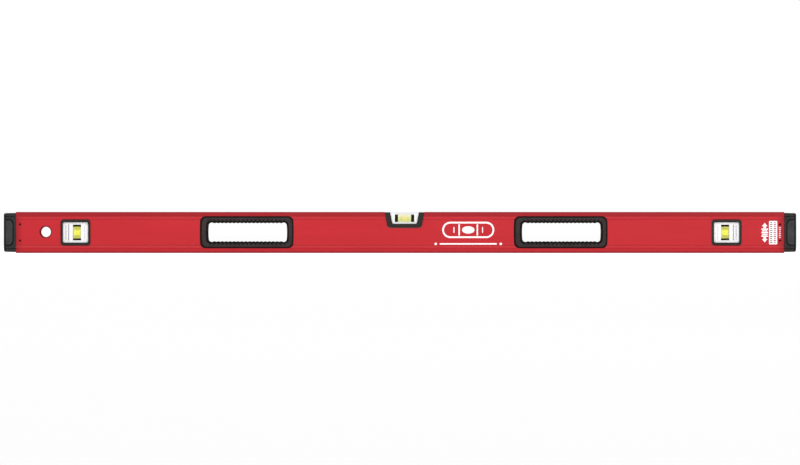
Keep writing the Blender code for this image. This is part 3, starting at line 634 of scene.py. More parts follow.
def rim_plastic():
    s = Surface("rim_plastic", 0.5, Specular_IOR_Level=0.2)
    s.paint(s.noise(even(70.0), 4.0), srgb(29, 28, 25), srgb(39, 37, 33))
    eroded(s)
    return s.material


def tip_shade(s):
    """How much painted shade darkens a cap round its outermost edges, from 0 to 1."""
    from_tip = s.math("SUBTRACT", s.away(0), BEAM_END + CAP_LENGTH)
    tip = s.map_range(from_tip, *CAP_TIP_SHADE)
    return s.largest(tip, s.map_range(s.away(2, MID), *CAP_EDGE_SHADE))


def cap_plastic():
    """The cap's plastic, with painted shade down in its groove and lines and round its outermost
    edges.
    """
    s = Surface("cap_plastic", 0.5, Specular_IOR_Level=0.12)
    colour = s.blend(s.noise(even(70.0), 4.0), srgb(38, 37, 37), srgb(47, 46, 46))
    sunk = s.map_range(s.away(1), *CAP_SUNK_SHADE)
    inside = s.map_range(s.away(2, MID), *CAP_INSIDE_SHADE)
    # painted shade: the sunk groove and lines, and the cap's tip and edges
    dark = s.largest(s.math("MULTIPLY", sunk, inside), tip_shade(s))
    s.feed("Base Color", s.mix(dark, colour, srgb(5, 5, 5)))
    eroded(s)
    return s.material


def bumper_rubber():
    s = Surface("bumper_rubber", 0.66, Specular_IOR_Level=0.15)
    colour = s.blend(s.noise(even(80.0), 5.0), srgb(49, 49, 49), srgb(61, 61, 61))
    # painted shade round the cap's outermost edges
    s.feed("Base Color", s.mix(tip_shade(s), colour, srgb(6, 6, 6)))
    s.roughen(s.noise(even(500.0)), 0.56, 0.74)
    s.bump((s.cells(even(1500.0)), 0.35, 0.08 * MM))
    return s.material


def white_plastic():
    """Glossy white reflector plastic, with a very faint flow of grey, and a faint glow that is painted
    light.
    """
    s = Surface("white_reflector", 0.28, Emission_Color=WHITE, Emission_Strength=0.1)
    flow = s.noise((60.0, 60.0, 25.0), 3.0)
    s.paint(flow, srgb(240, 241, 243), srgb(250, 250, 250))
    grain = s.noise(even(900.0), 2.0)
    s.roughen(grain, 0.22, 0.34)
    s.bump((grain, 0.1, 0.04 * MM))
    return s.material


def clear_acrylic(name, alpha, tint):
    """Polished acrylic. Its alpha stands for how little it hides; faint polish lines catch light."""
    s = Surface(name, 0.06, Alpha=alpha, IOR=1.49)
    polish = s.noise((400.0, 400.0, 30.0), 3.0)
    s.paint(polish, tint, srgb(70, 72, 72), 0.2, 0.8)
    s.roughen(polish, 0.04, 0.1)
    s.bump((polish, 0.04, 0.03 * MM))
    return s.material


def glowing(s, colour):
    # the colour also glows as emission; in the vial materials that glow is painted light
    s.feed("Base Color", colour)
    s.feed("Emission Color", colour)


def vial_liquid(name, alpha, glow, colours, axis, middle, reach):
    """Fluorescent liquid: strong along its middle, and paler where the bore curves away, which is
    painted light for the thinner liquid there. Its glow is partly fluorescence and partly painted
    light.
    """
    s = Surface(name, 0.08, Alpha=alpha, Specular_IOR_Level=0.2, Emission_Strength=glow)
    swirl = s.noise(even(260.0), 2.0)
    away = s.math("ADD", s.away(axis, middle), s.math("MULTIPLY", swirl, 0.8 * MM))
    glowing(s, s.mix(s.map_range(away, *reach, 0.0, 1.0), *colours))
    s.roughen(swirl, 0.05, 0.12)
    return s.material


def vial_bubble(name, glow, colours, axis, middle, half_length):
    """The bubble: bright along its body with a glow that is painted light, and painted shade for the
    darker rim that shows at each end.
    """
    s = Surface(name, 0.1, Specular_IOR_Level=0.3, Emission_Strength=glow)
    ripple = s.noise(even(600.0), 2.0)
    away = s.math("ADD", s.away(axis, middle), s.math("MULTIPLY", ripple, 0.3 * MM))
    from_tip = s.math("SUBTRACT", away, half_length)
    glowing(s, s.mix(s.map_range(from_tip, *BUBBLE_END_SHADE), *colours))
    s.roughen(ripple, 0.06, 0.16)
    return s.material


def ring_black():
    s = Surface("indicator_ring", 0.4, Specular_IOR_Level=0.15)
    grain = s.noise(even(1200.0), 2.0)
    s.paint(grain, srgb(6, 6, 5), srgb(12, 12, 10))
    s.roughen(grain, 0.26, 0.4)
    s.bump((grain, 0.1, 0.03 * MM))
    return s.material


def zinc_steel():
    s = Surface("zinc_plated_steel", 0.35, Metallic=1.0)
    spangle = s.cells(even(420.0))
    s.paint(spangle, srgb(166, 168, 172), srgb(196, 198, 200), 0.1, 0.8)
    s.roughen(spangle, 0.28, 0.44, 0.0, 0.8)
    s.bump((s.noise(even(900.0)), 0.12, 0.04 * MM))
    return s.material


def ink(name, light, dark, roughness=0.4):
    """Screen-printed ink, slightly uneven where it lies on the paint's orange peel."""
    s = Surface(name, roughness)
    speckle = s.noise(even(1400.0), 2.0)
    s.paint(speckle, dark, light, 0.25, 0.6)
    s.roughen(speckle, roughness - 0.06, roughness + 0.08)
    s.bump((speckle, 0.2, 0.05 * MM))
    return s.material


def make_materials():
    return {
        "red": red_paint(),
        "milled": milled_aluminium(),
        "rubber": rubber(),
        "rim": rim_plastic(),
        "cap": cap_plastic(),
        "bumper": bumper_rubber(),
        "white": white_plastic(),
        "lens": clear_acrylic("lens_acrylic", 0.03, srgb(40, 44, 42)),
        "block": clear_acrylic("vial_acrylic", 0.05, srgb(60, 62, 30)),
        "black": ring_black(),
        "zinc": zinc_steel(),
        "white_ink": ink("white_ink", srgb(250, 250, 250), srgb(236, 232, 232)),
        "grey_ink": ink("grey_ink", srgb(120, 122, 128), srgb(96, 98, 104)),
        "pale_ink": ink("pale_ink", srgb(172, 176, 184), srgb(150, 152, 160)),
        "rose_ink": ink("rose_ink", srgb(244, 196, 204), srgb(232, 176, 186)),
        "pink_ink": ink("pink_ink", srgb(196, 104, 122), srgb(172, 78, 98)),
    }


# Beam

def beam_section():
    """The outer section: rounded rail edges, a step, a ridge, a groove and the panel."""
    top = BEAM_HALF_HEIGHT
    quarter = [
        ((RAIL_FACE, top), 1.1 * MM),
        ((RAIL_FACE, top - RAIL_END), 0.25 * MM),
        ((STEP_FACE, top - STEP_START), 0.15 * MM),
        ((RIDGE_FACE, top - RIDGE_DOWN), 0.7 * MM),
        ((GROOVE_FACE, top - GROOVE_DOWN), 0.35 * MM),
        ((PANEL_FACE, top - PANEL_START), 0.25 * MM),
    ]
    return mirrored(quarter, 4)


def chamber(low, high):
    middle = (0.0, (low + high) / 2)
    return rectangle(CHAMBER_HALF_WIDTH, (high - low) / 2, 0.6 * MM, middle, 3)


def level_reach(shape, height):
    """Half the width, at a height, of a level window that narrows evenly downward."""
    top_half, low_half, low, _ = shape
    slope = (top_half - low_half) / (BEAM_HALF_HEIGHT - low)
    return top_half + (height - BEAM_HALF_HEIGHT) * slope


def level_outline(shape, top, margin=0.0):
    """The level window's tapering outline: square at the top, rounded at the bottom."""
    low, corner = shape[2:]
    top_reach = level_reach(shape, top) + margin
    low_reach = level_reach(shape, low - margin) + margin
    corners = [
        (-top_reach, top),
        (-low_reach, low - margin),
        (low_reach, low - margin),
        (top_reach, top),
    ]
    return rounded(corners, [0.0, corner, corner, 0.0])


def add_drilled_hole(mesh, radius, flare, middle):
    """A cutter for a hole through both walls, opening a little at each painted face."""
    out = PANEL_FACE + PAST
    wide = radius + flare
    profile = [
        (wide, -out),
        (wide, -PANEL_FACE),
        (radius, -PANEL_FACE + flare),
        (radius, PANEL_FACE - flare),
        (wide, PANEL_FACE),
        (wide, out),
    ]
    add_turned(mesh, profile, along_y, middle, closed=False, steps=DRILLED_STEPS)


def centre_x(node):
    low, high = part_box(node)
    return (low.x + high.x) / 2


def grip_x(side):
    return centre_x(f"grip_{SIDES[side]}_front_rubber")


def plumb_x(side):
    return centre_x(f"plumb_{SIDES[side]}_bezel_front")


LEVEL_X = centre_x("level_bezel_front")


def add_beam(materials):
    mesh = bmesh.new()
    outlines = [
        beam_section(),
        chamber(-RIB_INNER, RIB_INNER),
        chamber(RIB_OUTER, FLANGE_INNER),
        chamber(-FLANGE_INNER, -RIB_OUTER),
    ]
    add_hollow_prism(mesh, outlines, along_x, -BEAM_END, BEAM_END)
    beam = make_object("beam_shell", mesh, materials["red"])

    cuts = bmesh.new()
    through = RAIL_FACE + PAST
    for side in SIDES:
        add_prism(cuts, shifted(rectangle(*PLUMB_CUT), plumb_x(side)), along_y, -through, through)
        grip = grip_outline(GRIP_HALF_LENGTH, GRIP_HALF_HEIGHT, GRIP_CORNER, 0.0)
        grip = shifted(grip, grip_x(side), GRIP_HEIGHT)
        add_prism(cuts, grip, along_y, RIB_CUT_DEPTH, through)
        add_prism(cuts, grip, along_y, -through, -RIB_CUT_DEPTH)
        for up in (-LATCH_HEIGHT, LATCH_HEIGHT):
            middle = (side * (BEAM_END - LATCH_FROM_END), up)
            add_drilled_hole(cuts, LATCH_HOLE_RADIUS, LATCH_HOLE_FLARE, middle)
    add_drilled_hole(cuts, HANG_HOLE_RADIUS, HANG_HOLE_FLARE, HANG_HOLE)
    notch = level_outline(LEVEL_OUTER, BEAM_HALF_HEIGHT + PAST, LEVEL_NOTCH_GAP)
    notch = shifted(notch, LEVEL_X)
    add_prism(cuts, notch, along_y, -through, through)
    combine(beam, cuts, "DIFFERENCE")

    beam.data.materials.append(materials["milled"])
    for face in beam.data.polygons:
        level = abs(face.normal.z) > 0.999
        if level and abs(abs(face.center.z) - BEAM_HALF_HEIGHT) < 0.05 * MM:
            face.material_index = 1
    settle(beam, "red_paint", "beam")


# End caps

def cap_section(inset, drop):
    """The cap's outer section: rounded corners, and a shallow line along each face."""
    half_width = CAP_HALF_WIDTH - inset
    half_height = CAP_HALF_HEIGHT - drop
    quarter = [
        ((half_width, half_height), CAP_CORNER),
        ((half_width, CAP_LINE_HEIGHT + CAP_LINE_HALF), 0.15 * MM),
        ((half_width - CAP_LINE_DEPTH, CAP_LINE_HEIGHT), 0.15 * MM),
        ((half_width, CAP_LINE_HEIGHT - CAP_LINE_HALF), 0.15 * MM),
    ]
    return mirrored(quarter, 5)


def bumper_outline(side, margin, end):
    """The bumper's D shape: a straight side near the beam, then arcs opening to the end."""
    upper = []
    for step in range(BUMPER_ARC_STEPS + 1):
        angle = math.pi / 2 * step / BUMPER_ARC_STEPS
        reach = BUMPER_ARC_REACH * (1 - math.cos(angle))
        rise = (BUMPER_LARGE_HALF - BUMPER_SMALL_HALF) * math.sin(angle)
        upper.append((BUMPER_START - margin + reach, BUMPER_SMALL_HALF + margin + rise))
    upper.append((end, BUMPER_LARGE_HALF + margin))
    lower = [(out, -up) for out, up in reversed(upper)]
    outline = [(side * out, up) for out, up in upper + lower]
    return shifted(outline, side * BEAM_END)


def edge_round(radius, steps):
    """(inset, depth) pairs down a quarter round, from the face to the full section."""
    pairs = []
    for step in range(steps + 1):
        angle = math.pi / 2 * step / steps
        pairs.append((radius * (1 - math.sin(angle)), radius * (1 - math.cos(angle))))
    return pairs


def add_bumper_room(core, side):
    """Cut out of the cap the room for its bumper, and the dark groove round it."""
    end = CAP_LENGTH + PAST
    wide = FIT + BUMPER_GROOVE
    flare, flare_depth = BUMPER_GROOVE_FLARE
    floor = CAP_HALF_WIDTH - BUMPER_GROOVE_DEPTH
    half = [
        (BUMPER_GAP, floor),
        (wide, floor + 0.05 * MM),
        (wide, CAP_HALF_WIDTH - flare_depth),
        (wide + flare, CAP_HALF_WIDTH),
        (wide + flare, CAP_HALF_WIDTH + PAST),
    ]
    whole = [(margin, -out) for margin, out in reversed(half)] + half
    stations = [(bumper_outline(side, margin, end), out) for margin, out in whole]
    combine_loft(core, stations, along_y)


def add_plug(core, side):
    """Join to the cap the hollow plug that reaches into the beam."""
    start = side * BEAM_END
    slimmer, lead = PLUG_LEAD
    full = rectangle(PLUG_HALF_WIDTH, PLUG_HALF_HEIGHT, 0.8 * MM, steps=3)
    small = rectangle(PLUG_HALF_WIDTH - slimmer, PLUG_HALF_HEIGHT - slimmer, 0.8 * MM, steps=3)
    stations = [
        (small, start - side * PLUG_LENGTH),
        (full, start - side * (PLUG_LENGTH - lead)),
        (full, start + side * (CAP_LENGTH - BUMPER_END_THICKNESS - FIT)),
    ]
    combine_loft(core, stations, along_x, "UNION")
    inside = rectangle(PLUG_HALF_WIDTH - PLUG_WALL, PLUG_HALF_HEIGHT - PLUG_WALL, 0.6 * MM, steps=3)
    ends = (start - side * (PLUG_LENGTH + PAST), start - side * PLUG_WALL)
    cut_prism(core, inside, along_x, *ends)


def add_cap_core(side, name, material):
    start = side * BEAM_END
    edge = CAP_INNER_EDGE
    stations = [(cap_section(edge, edge), start + side * FIT)]
    stations.append((cap_section(0.0, 0.0), start + side * (FIT + edge)))
    for inset, depth in reversed(edge_round(1.0, 8)):
        drop = CAP_TAPER + CAP_CORNER_DROP * inset
        place = CAP_LENGTH - CAP_ROUND_LENGTH * depth
        stations.append((cap_section(CAP_END_ROUND * inset, drop), start + side * place))
    core = lofted(name + "_core_shell", stations, along_x, material)
    add_bumper_room(core, side)
    add_plug(core, side)
    settle(core, "dark_plastic", name + "_core", body=name)


def add_cap_bumper(side, name, material):
    """The D-shaped pad on each face, joined round the outer end."""
    rounds = edge_round(BUMPER_EDGE, 5)
    levels = [(inset, depth - CAP_HALF_WIDTH) for inset, depth in rounds]
    levels += [(inset, CAP_HALF_WIDTH - depth) for inset, depth in reversed(rounds)]
    stations = [(bumper_outline(side, -inset, CAP_LENGTH - inset), out) for inset, out in levels]
    bumper = lofted(name + "_bumper_pad", stations, along_y, material)
    inside = box_outline(PLUG_HALF_WIDTH + FIT, BUMPER_LARGE_HALF + PAST)
    end = CAP_LENGTH - BUMPER_END_THICKNESS
    cut_prism(bumper, inside, along_x, side * BEAM_END, side * (BEAM_END + end))
    settle(bumper, "black_rubber", name + "_bumper", body=name)


def add_end_cap(side, materials):
    name = "end_cap_" + SIDES[side]
    add_cap_core(side, name, materials["cap"])
    add_cap_bumper(side, name, materials["bumper"])


# Grips

def rib_swells():
    """How far the finger ribs swell, from 0 to 1, at even steps along a ribbed side."""
    return [abs(math.sin(math.pi * step / RIB_STEPS)) for step in range(RIB_COUNT * RIB_STEPS + 1)]


def side_places(straight_half):
    """Where those steps fall on a side whose straight stretch has the given half length."""
    spread = straight_half / (HAND_HALF_LENGTH - HAND_CORNER)
    ribbed_half = RIB_COUNT * RIB_PITCH / 2
    steps = range(RIB_COUNT * RIB_STEPS + 1)
    return [spread * (RIB_PITCH * step / RIB_STEPS - ribbed_half) for step in steps]


def grip_outline(half_length, half_height, corner, rib_rise):
    """A rounded rectangle with bowed ends and, where the rise isn't 0, ribbed long sides."""
    arcs = rounded(box_outline(half_length, half_height), corner)
    count = CORNER_STEPS + 1
    low_left, low_right, high_right, high_left = [
        arcs[index * count:(index + 1) * count] for index in range(4)]
    places = side_places(half_length - corner)
    rises = [rib_rise * swell for swell in rib_swells()]
    reach = half_height - corner
    end_heights = [reach * (2 * step / GRIP_END_STEPS - 1) for step in range(1, GRIP_END_STEPS)]
    outline = list(low_left)
    outline += [(x, rise - half_height) for x, rise in zip(places, rises)]
    outline += low_right
    outline += [(half_length, z) for z in end_heights]
    outline += high_right
    outline += [(-x, half_height - rise) for x, rise in zip(places, rises)]
    outline += high_left
    outline += [(-half_length, -z) for z in end_heights]
    bowed = []
    for across, up in outline:
        near_end = max(0.0, abs(across) / half_length - (1 - GRIP_BOW_PART)) / GRIP_BOW_PART
        bulge = GRIP_BOW * near_end * max(0.0, 1 - (up / half_height) ** 2)
        bowed.append((across + math.copysign(bulge, across), up))
    return bowed


def grip_valleys():
    """For each point of a grip's outline, how deep it lies between two ribs, from 0 to 1."""
    corner = [0.0] * (CORNER_STEPS + 1)
    side = [1 - swell for swell in rib_swells()]
    end = [0.0] * (GRIP_END_STEPS - 1)
    return (corner + side + corner + end) * 2


def grip_stations(facing):
    """The rubber skin's rounded section, from the hand opening out over the face."""
    outer = grip_outline(GRIP_HALF_LENGTH, GRIP_HALF_HEIGHT, GRIP_CORNER, 0.0)
    plain = grip_outline(HAND_HALF_LENGTH, HAND_HALF_HEIGHT, HAND_CORNER, 0.0)
    ribbed = grip_outline(HAND_HALF_LENGTH, HAND_HALF_HEIGHT, HAND_CORNER, RIB_RISE)
    plain = shifted(plain, HAND_SHIFT)
    ribbed = shifted(ribbed, HAND_SHIFT)
    valleys = grip_valleys()
    width = GRIP_HALF_HEIGHT - HAND_HALF_HEIGHT
    section = rounded_pairs([
        ((0.0, GRIP_MEETING), 0.1 * MM),
        ((0.0, GRIP_FACE - 2.4 * MM), 1.2 * MM),
        ((GRIP_LIP, GRIP_FACE), 1.2 * MM),
        ((RIB_REACH - 1.5 * MM, GRIP_FACE), 0.0),
        ((RIB_REACH, GRIP_FACE), 0.0),
        ((width - 3.0 * MM, GRIP_FACE), 0.6 * MM),
        ((width, GRIP_FACE - 1.1 * MM), 0.08 * MM),
        ((width, GRIP_SKIN_BACK), 0.1 * MM),
        ((GRIP_LINING, GRIP_SKIN_BACK), 0.1 * MM),
        ((GRIP_LINING, GRIP_MEETING), 0.1 * MM),
    ], 4)
    stations = []
    for out, level in section:
        fade = max(0.0, 1 - out / RIB_REACH)
        inner = between(plain, ribbed, fade)
        outline = shifted(between(inner, outer, min(1.0, out / width)), 0.0, GRIP_HEIGHT)
        on_face = level > GRIP_SKIN_BACK + 0.1 * MM
        depth = RIB_FACE_DEPTH * min(1.0, 3 * fade) if on_face else 0.0
        stations.append((outline, [facing * (level - depth * valley) for valley in valleys]))
    return stations


def add_grip_skin(side, facing, materials):
    name = f"grip_{SIDES[side]}_{FACES[facing]}"
    stations = [(shifted(outline, grip_x(side)), level) for outline, level in grip_stations(facing)]
    piece = ringed(name + "_skin", stations, along_y, materials["rubber"])
    settle(piece, "black_rubber", name + "_rubber")


# Vials

class Vial:
    """A clear block drilled along one axis, with its liquid, two black rings and bubble.

    The axis crosses its plane at the middle, and the block's own middle is at the place along it.
    half holds the block's half sizes, rings and bubble a place or radius and then a half length.
    """

    def __init__(self, prefix, along, middle, place, half, bore, rings, bubble):
        self.prefix = prefix
        self.along = along
        self.middle = middle
        self.place = place
        self.half = half
        self.bore = bore
        self.ring_place, self.ring_half = rings
        self.bubble_radius, self.bubble_half = bubble
        self.bore_end = half[2] - VIAL_END_WALL

    def turned(self, profile, closed=False):
        """A mesh turned about the axis, from (radius, level) points about the vial's middle."""
        mesh = bmesh.new()
        moved = [(out, self.place + level) for out, level in profile]
        add_turned(mesh, moved, self.along, self.middle, closed)
        return mesh

    def barrel(self):
        """The bore's profile, a little wider at its middle, so that the bubble centres there."""
        points = []
        for step in range(BORE_STEPS + 1):
            level = -self.bore_end + 2 * self.bore_end * step / BORE_STEPS
            points.append((self.bore + BORE_RISE * (1 - (level / self.bore_end) ** 2), level))
        return points

    def add_block(self, material):
        """The clear block, with softened edges, drilled from its far end."""
        half_u, half_v, half_length = self.half
        full = rectangle(half_u, half_v, BLOCK_CORNER, self.middle, 4)
        small = rectangle(half_u - BLOCK_EDGE, half_v - BLOCK_EDGE, BLOCK_CORNER, self.middle, 4)
        stations = [
            (small, self.place - half_length),
            (full, self.place - half_length + BLOCK_EDGE),
            (full, self.place + half_length - BLOCK_EDGE),
            (small, self.place + half_length),
        ]
        block = lofted(self.prefix + "_vial_block", stations, self.along, material)
        combine(block, self.turned(self.barrel() + [(self.bore, half_length + PAST)]), "DIFFERENCE")
        settle(block, "clear_acrylic", self.prefix + "_vial")

    def add_liquid(self, material):
        """The liquid, narrower inside each ring."""
        neck = self.bore - LIQUID_NECK
        radius = self.bore - LIQUID_GAP
        clear = self.ring_half + RING_SIDE_GAP
        end = self.bore_end - LIQUID_FROM_END
        softened = 0.4 * MM
        upper = [
            (radius + BORE_RISE, 0.0),
            (radius, self.ring_place - clear),
            (neck, self.ring_place - clear),
            (neck, self.ring_place + clear),
            (radius, self.ring_place + clear),
            (radius, end - softened),
            (radius - softened, end),
        ]
        profile = [(out, -level) for out, level in reversed(upper[1:])] + upper
        liquid = make_object(self.prefix + "_liquid_body", self.turned(profile), material)
        settle(liquid, "yellow_fluid", self.prefix + "_fluid")

    def add_ring(self, end, sign, material):
        """One black indicator ring, just inside the bore."""
        radial_half = (RING_REACH - RING_GAP) / 2
        middle = (self.bore - RING_GAP - radial_half, sign * self.ring_place)
        profile = rectangle(radial_half, self.ring_half, 0.15 * MM, middle, 3)
        ring = make_object(self.prefix + "_band_" + end, self.turned(profile, closed=True), material)
        settle(ring, "black_ring", self.prefix + "_ring_" + end)

    def add_bubble(self, material):
        """A rounded slug of air: a straight body and an oval dome at each end."""
        dome = []
        for step in range(BUBBLE_STEPS):
            angle = math.pi / 2 * step / BUBBLE_STEPS
            level = self.bubble_half - BUBBLE_DOME * (1 - math.sin(angle))
            dome.append((self.bubble_radius * math.cos(angle), level))
        profile = [(out, -level) for out, level in reversed(dome)] + dome
        slug = make_object(self.prefix + "_air_bubble", self.turned(profile), material)
        settle(slug, "air_bubble", self.prefix + "_bubble", body=self.prefix + "_bubble")

    def add(self, ends, liquid, air, materials):
        self.add_block(materials["block"])
        self.add_liquid(liquid)
        for end, sign in zip(ends, (-1, 1)):
            self.add_ring(end, sign, materials["black"])
        self.add_bubble(air)


# Plumb windows

def add_plumb_bezel(name, node, across, facing, material):
    """A frame with a softened face, and the collar behind it that reaches into the beam."""
    inner = rectangle(*PLUMB_VIEW)
    outer = rectangle(*PLUMB_FLANGE)
    collar_inner = 1.4 * MM
    collar_outer = 2.2 * MM
    section = rounded_pairs([
        ((0.0, BEZEL_LIP_BACK), 0.1 * MM),
        ((0.0, BEZEL_FACE - BEZEL_EDGE), 0.3 * MM),
        ((BEZEL_EDGE, BEZEL_FACE), 0.3 * MM),
        ((BEZEL_BAND - BEZEL_EDGE, BEZEL_FACE), 0.4 * MM),
        ((BEZEL_BAND, BEZEL_FACE - 0.45 * MM), 0.12 * MM),
        ((BEZEL_BAND, BEZEL_FLANGE_BACK), 0.1 * MM),
        ((collar_outer, BEZEL_FLANGE_BACK), 0.1 * MM),
        ((collar_outer, BEZEL_BACK), 0.1 * MM),
        ((collar_inner, BEZEL_BACK), 0.1 * MM),
        ((collar_inner, BEZEL_LIP_BACK), 0.1 * MM),
    ], 4)
    stations = []
    for out, level in section:
        stations.append((shifted(between(inner, outer, out / BEZEL_BAND), across), facing * level))
    settle(ringed(name, stations, along_y, material), "dark_plastic", node)


def add_housing(prefix, outline, room, half_depth, opening, material):
    """The white reflector: room for the vial, and in each face an opening that frames it."""
    stations = [(outline, -HOUSING_FACE), (outline, HOUSING_FACE)]
    housing = lofted(prefix + "_reflector", stations, along_y, material)
    cut_prism(housing, room, along_y, -half_depth, half_depth)
    cut_prism(housing, opening, along_y, -HOUSING_FACE - PAST, HOUSING_FACE + PAST)
    settle(housing, "white_plastic", prefix + "_housing")


def add_plumb_housing(prefix, across, vial_x, material):
    half_width, half_depth, half_length = [half + FIT for half in PLUMB_BLOCK]
    outline = shifted(rectangle(*PLUMB_HOUSING), across)
    room = box_outline(half_width, half_length, (vial_x, 0.0))
    opening = rectangle(*PLUMB_APERTURE, (vial_x, 0.0), 4)
    add_housing(prefix, outline, room, half_depth, opening, material)


def add_plumb_ticks(prefix, vial_x, outward, materials):
    """Plain printed ticks beside the vial, on both faces of the housing."""
    columns = [     # distance from the vial, half width, half height, pitch, count, ink
        (12.7 * MM, 1.1 * MM, 0.55 * MM, 1.75 * MM, 14, "grey_ink"),
        (16.9 * MM, 1.2 * MM, 0.5 * MM, 1.75 * MM, 13, "pale_ink"),
        (-11.6 * MM, 0.8 * MM, 0.4 * MM, 2.2 * MM, 10, "pale_ink"),
    ]
    low = HOUSING_FACE + 0.02 * MM
    high = HOUSING_FACE + 0.07 * MM
    for number, (away, half_width, half_height, pitch, count, ink_name) in enumerate(columns):
        middle = (vial_x + outward * away, 0.0)
        column = bar_column(middle, count, pitch, [half_width], half_height, TICK_CORNER)
        mesh = bmesh.new()
        for start, end in ((-high, -low), (low, high)):
            for tick in column:
                add_prism(mesh, tick, along_y, start, end)
        ticks = make_object(f"{prefix}_ticks_{number}", mesh, materials[ink_name])
        settle(ticks, "white_plastic")


def add_plumb_window(side, materials):
    prefix = "plumb_" + SIDES[side]
    across = plumb_x(side)
    vial_x = across - side * PLUMB_VIAL_SHIFT
    vial = Vial(prefix, along_z, (vial_x, 0.0), 0.0, PLUMB_BLOCK, bore=6.2 * MM,
                rings=(10.5 * MM, 1.5 * MM), bubble=(4.75 * MM, 6.15 * MM))
    # the glows, the liquid's pale sides and the bubble's dark rim are painted light and shade
    liquid = vial_liquid(prefix + "_liquid", alpha=0.45, glow=0.72,
                         colours=(srgb(226, 224, 98), srgb(244, 242, 190)),
                         axis=0, middle=vial_x, reach=(3.4 * MM, 6.0 * MM))
    air = vial_bubble(prefix + "_air", glow=0.6, colours=(srgb(240, 242, 84), srgb(40, 36, 2)),
                      axis=2, middle=MID, half_length=vial.bubble_half)
    vial.add(("lower", "upper"), liquid, air, materials)
    add_plumb_housing(prefix, across, vial_x, materials["white"])
    add_plumb_ticks(prefix, vial_x, side, materials)
    for facing, end in FACES.items():
        add_plumb_bezel(prefix + "_rim_" + end, prefix + "_bezel_" + end, across, facing,
                        materials["rim"])


# Level window

def add_level_shoulders(bezel, facing):
    """Join to the bezel the two blocks that fill the window's slopes beside the housing."""
    shoulders = bmesh.new()
    for side in SIDES:
        corners = [
            (side * LEVEL_SHOULDER_INNER, LEVEL_SHOULDER_LOW),
            (side * level_reach(LEVEL_OUTER, LEVEL_SHOULDER_LOW), LEVEL_SHOULDER_LOW),
            (side * level_reach(LEVEL_OUTER, LEVEL_TOP), LEVEL_TOP),
            (side * LEVEL_SHOULDER_INNER, LEVEL_TOP),
        ]
        ends = (facing * GRIP_MEETING, facing * LEVEL_SHOULDER_DEPTH)
        add_prism(shoulders, shifted(corners, LEVEL_X), along_y, *ends)
    combine(bezel, shoulders, "UNION")


def add_level_bezel(facing, end, material):
    """One face of the window: a U open at the top edge, chamfered round its view."""
    outer = level_outline(LEVEL_OUTER, LEVEL_TOP)
    view = level_outline(LEVEL_VIEW, LEVEL_TOP)
    outline = shifted(outer + view[::-1], LEVEL_X)
    near_outer = level_outline(LEVEL_OUTER, LEVEL_TOP, -BEZEL_EDGE / 2)
    far_view = level_outline(LEVEL_VIEW, LEVEL_TOP, BEZEL_EDGE)
    chamfered = shifted(near_outer + far_view[::-1], LEVEL_X)
    stations = [
        (outline, facing * BEZEL_BACK),
        (outline, facing * (BEZEL_FACE - BEZEL_EDGE)),
        (chamfered, facing * BEZEL_FACE),
    ]
    bezel = lofted("level_rim_" + end, stations, along_y, material)
    seat = shifted(level_outline(LEVEL_VIEW, LEVEL_TOP + PAST, LEVEL_LENS_MARGIN), LEVEL_X)
    cut_prism(bezel, seat, along_y, facing * (BEZEL_BACK - PAST), facing * BEZEL_LIP_BACK)
    add_level_shoulders(bezel, facing)
    settle(bezel, "dark_plastic", "level_bezel_" + end)


def add_level_housing(material):
    """The level's housing stands under and beside the vial, and is open at the top."""
    top_half, low_half = LEVEL_HOUSING_HALVES
    outline = rounded_pairs([
        ((-top_half, LEVEL_HOUSING_TOP), 0.3 * MM),
        ((-low_half, LEVEL_HOUSING_LOW), 1.2 * MM),
        ((low_half, LEVEL_HOUSING_LOW), 1.2 * MM),
        ((top_half, LEVEL_HOUSING_TOP), 0.3 * MM),
    ], 4)
    above = LEVEL_HOUSING_TOP + PAST
    half_depth, half_height, half_length = [half + FIT for half in LEVEL_BLOCK]
    room = box_between(LEVEL_X - half_length, LEVEL_X + half_length,
                       LEVEL_VIAL_HEIGHT - half_height, above)
    half_width, low_edge = LEVEL_APERTURE
    opening = box_between(LEVEL_X - half_width, LEVEL_X + half_width, low_edge, above)
    add_housing("level", shifted(outline, LEVEL_X), room, half_depth, opening, material)


def add_level_window(materials):
    vial = Vial("level", along_x, (0.0, LEVEL_VIAL_HEIGHT), LEVEL_X, LEVEL_BLOCK, bore=5.9 * MM,
                rings=(12.5 * MM, 2.4 * MM), bubble=(4.45 * MM, 6.0 * MM))
    # strongest is where the painted light leaves the liquid most deeply coloured; the glows, the pale
    # sides and the bubble's dark rim are painted light and shade
    strongest = MID + LEVEL_VIAL_HEIGHT - 2.0 * MM
    liquid = vial_liquid("level_liquid", alpha=0.42, glow=0.92,
                         colours=(srgb(234, 242, 164), srgb(252, 250, 222)),
                         axis=2, middle=strongest, reach=(1.8 * MM, 6.6 * MM))
    air = vial_bubble("level_air", glow=0.34, colours=(srgb(224, 190, 36), srgb(14, 11, 0)),
                      axis=0, middle=LEVEL_X, half_length=vial.bubble_half)
    vial.add(("left", "right"), liquid, air, materials)
    add_level_housing(materials["white"])
    for facing, end in FACES.items():
        add_level_bezel(facing, end, materials["rim"])


# Printed marks, each a thin layer of ink on the front panel

INK_LOW = -PANEL_FACE - 0.07 * MM
INK_HIGH = -PANEL_FACE - 0.01 * MM
SIGN_X = 561.2 * MM
LABEL_X = 574.1 * MM
STRIP_X = 584.4 * MM
SIGN_HEIGHT = -0.2 * MM


def add_print(name, shapes, material, low=INK_LOW, high=INK_HIGH):
    """One printed mark. Each shape is a list of an outline and, after it, any holes in it."""
    mesh = bmesh.new()
    for shape in shapes:
        add_hollow_prism(mesh, shape, along_y, low, high)
    settle(make_object(name, mesh, material), "white_plastic")


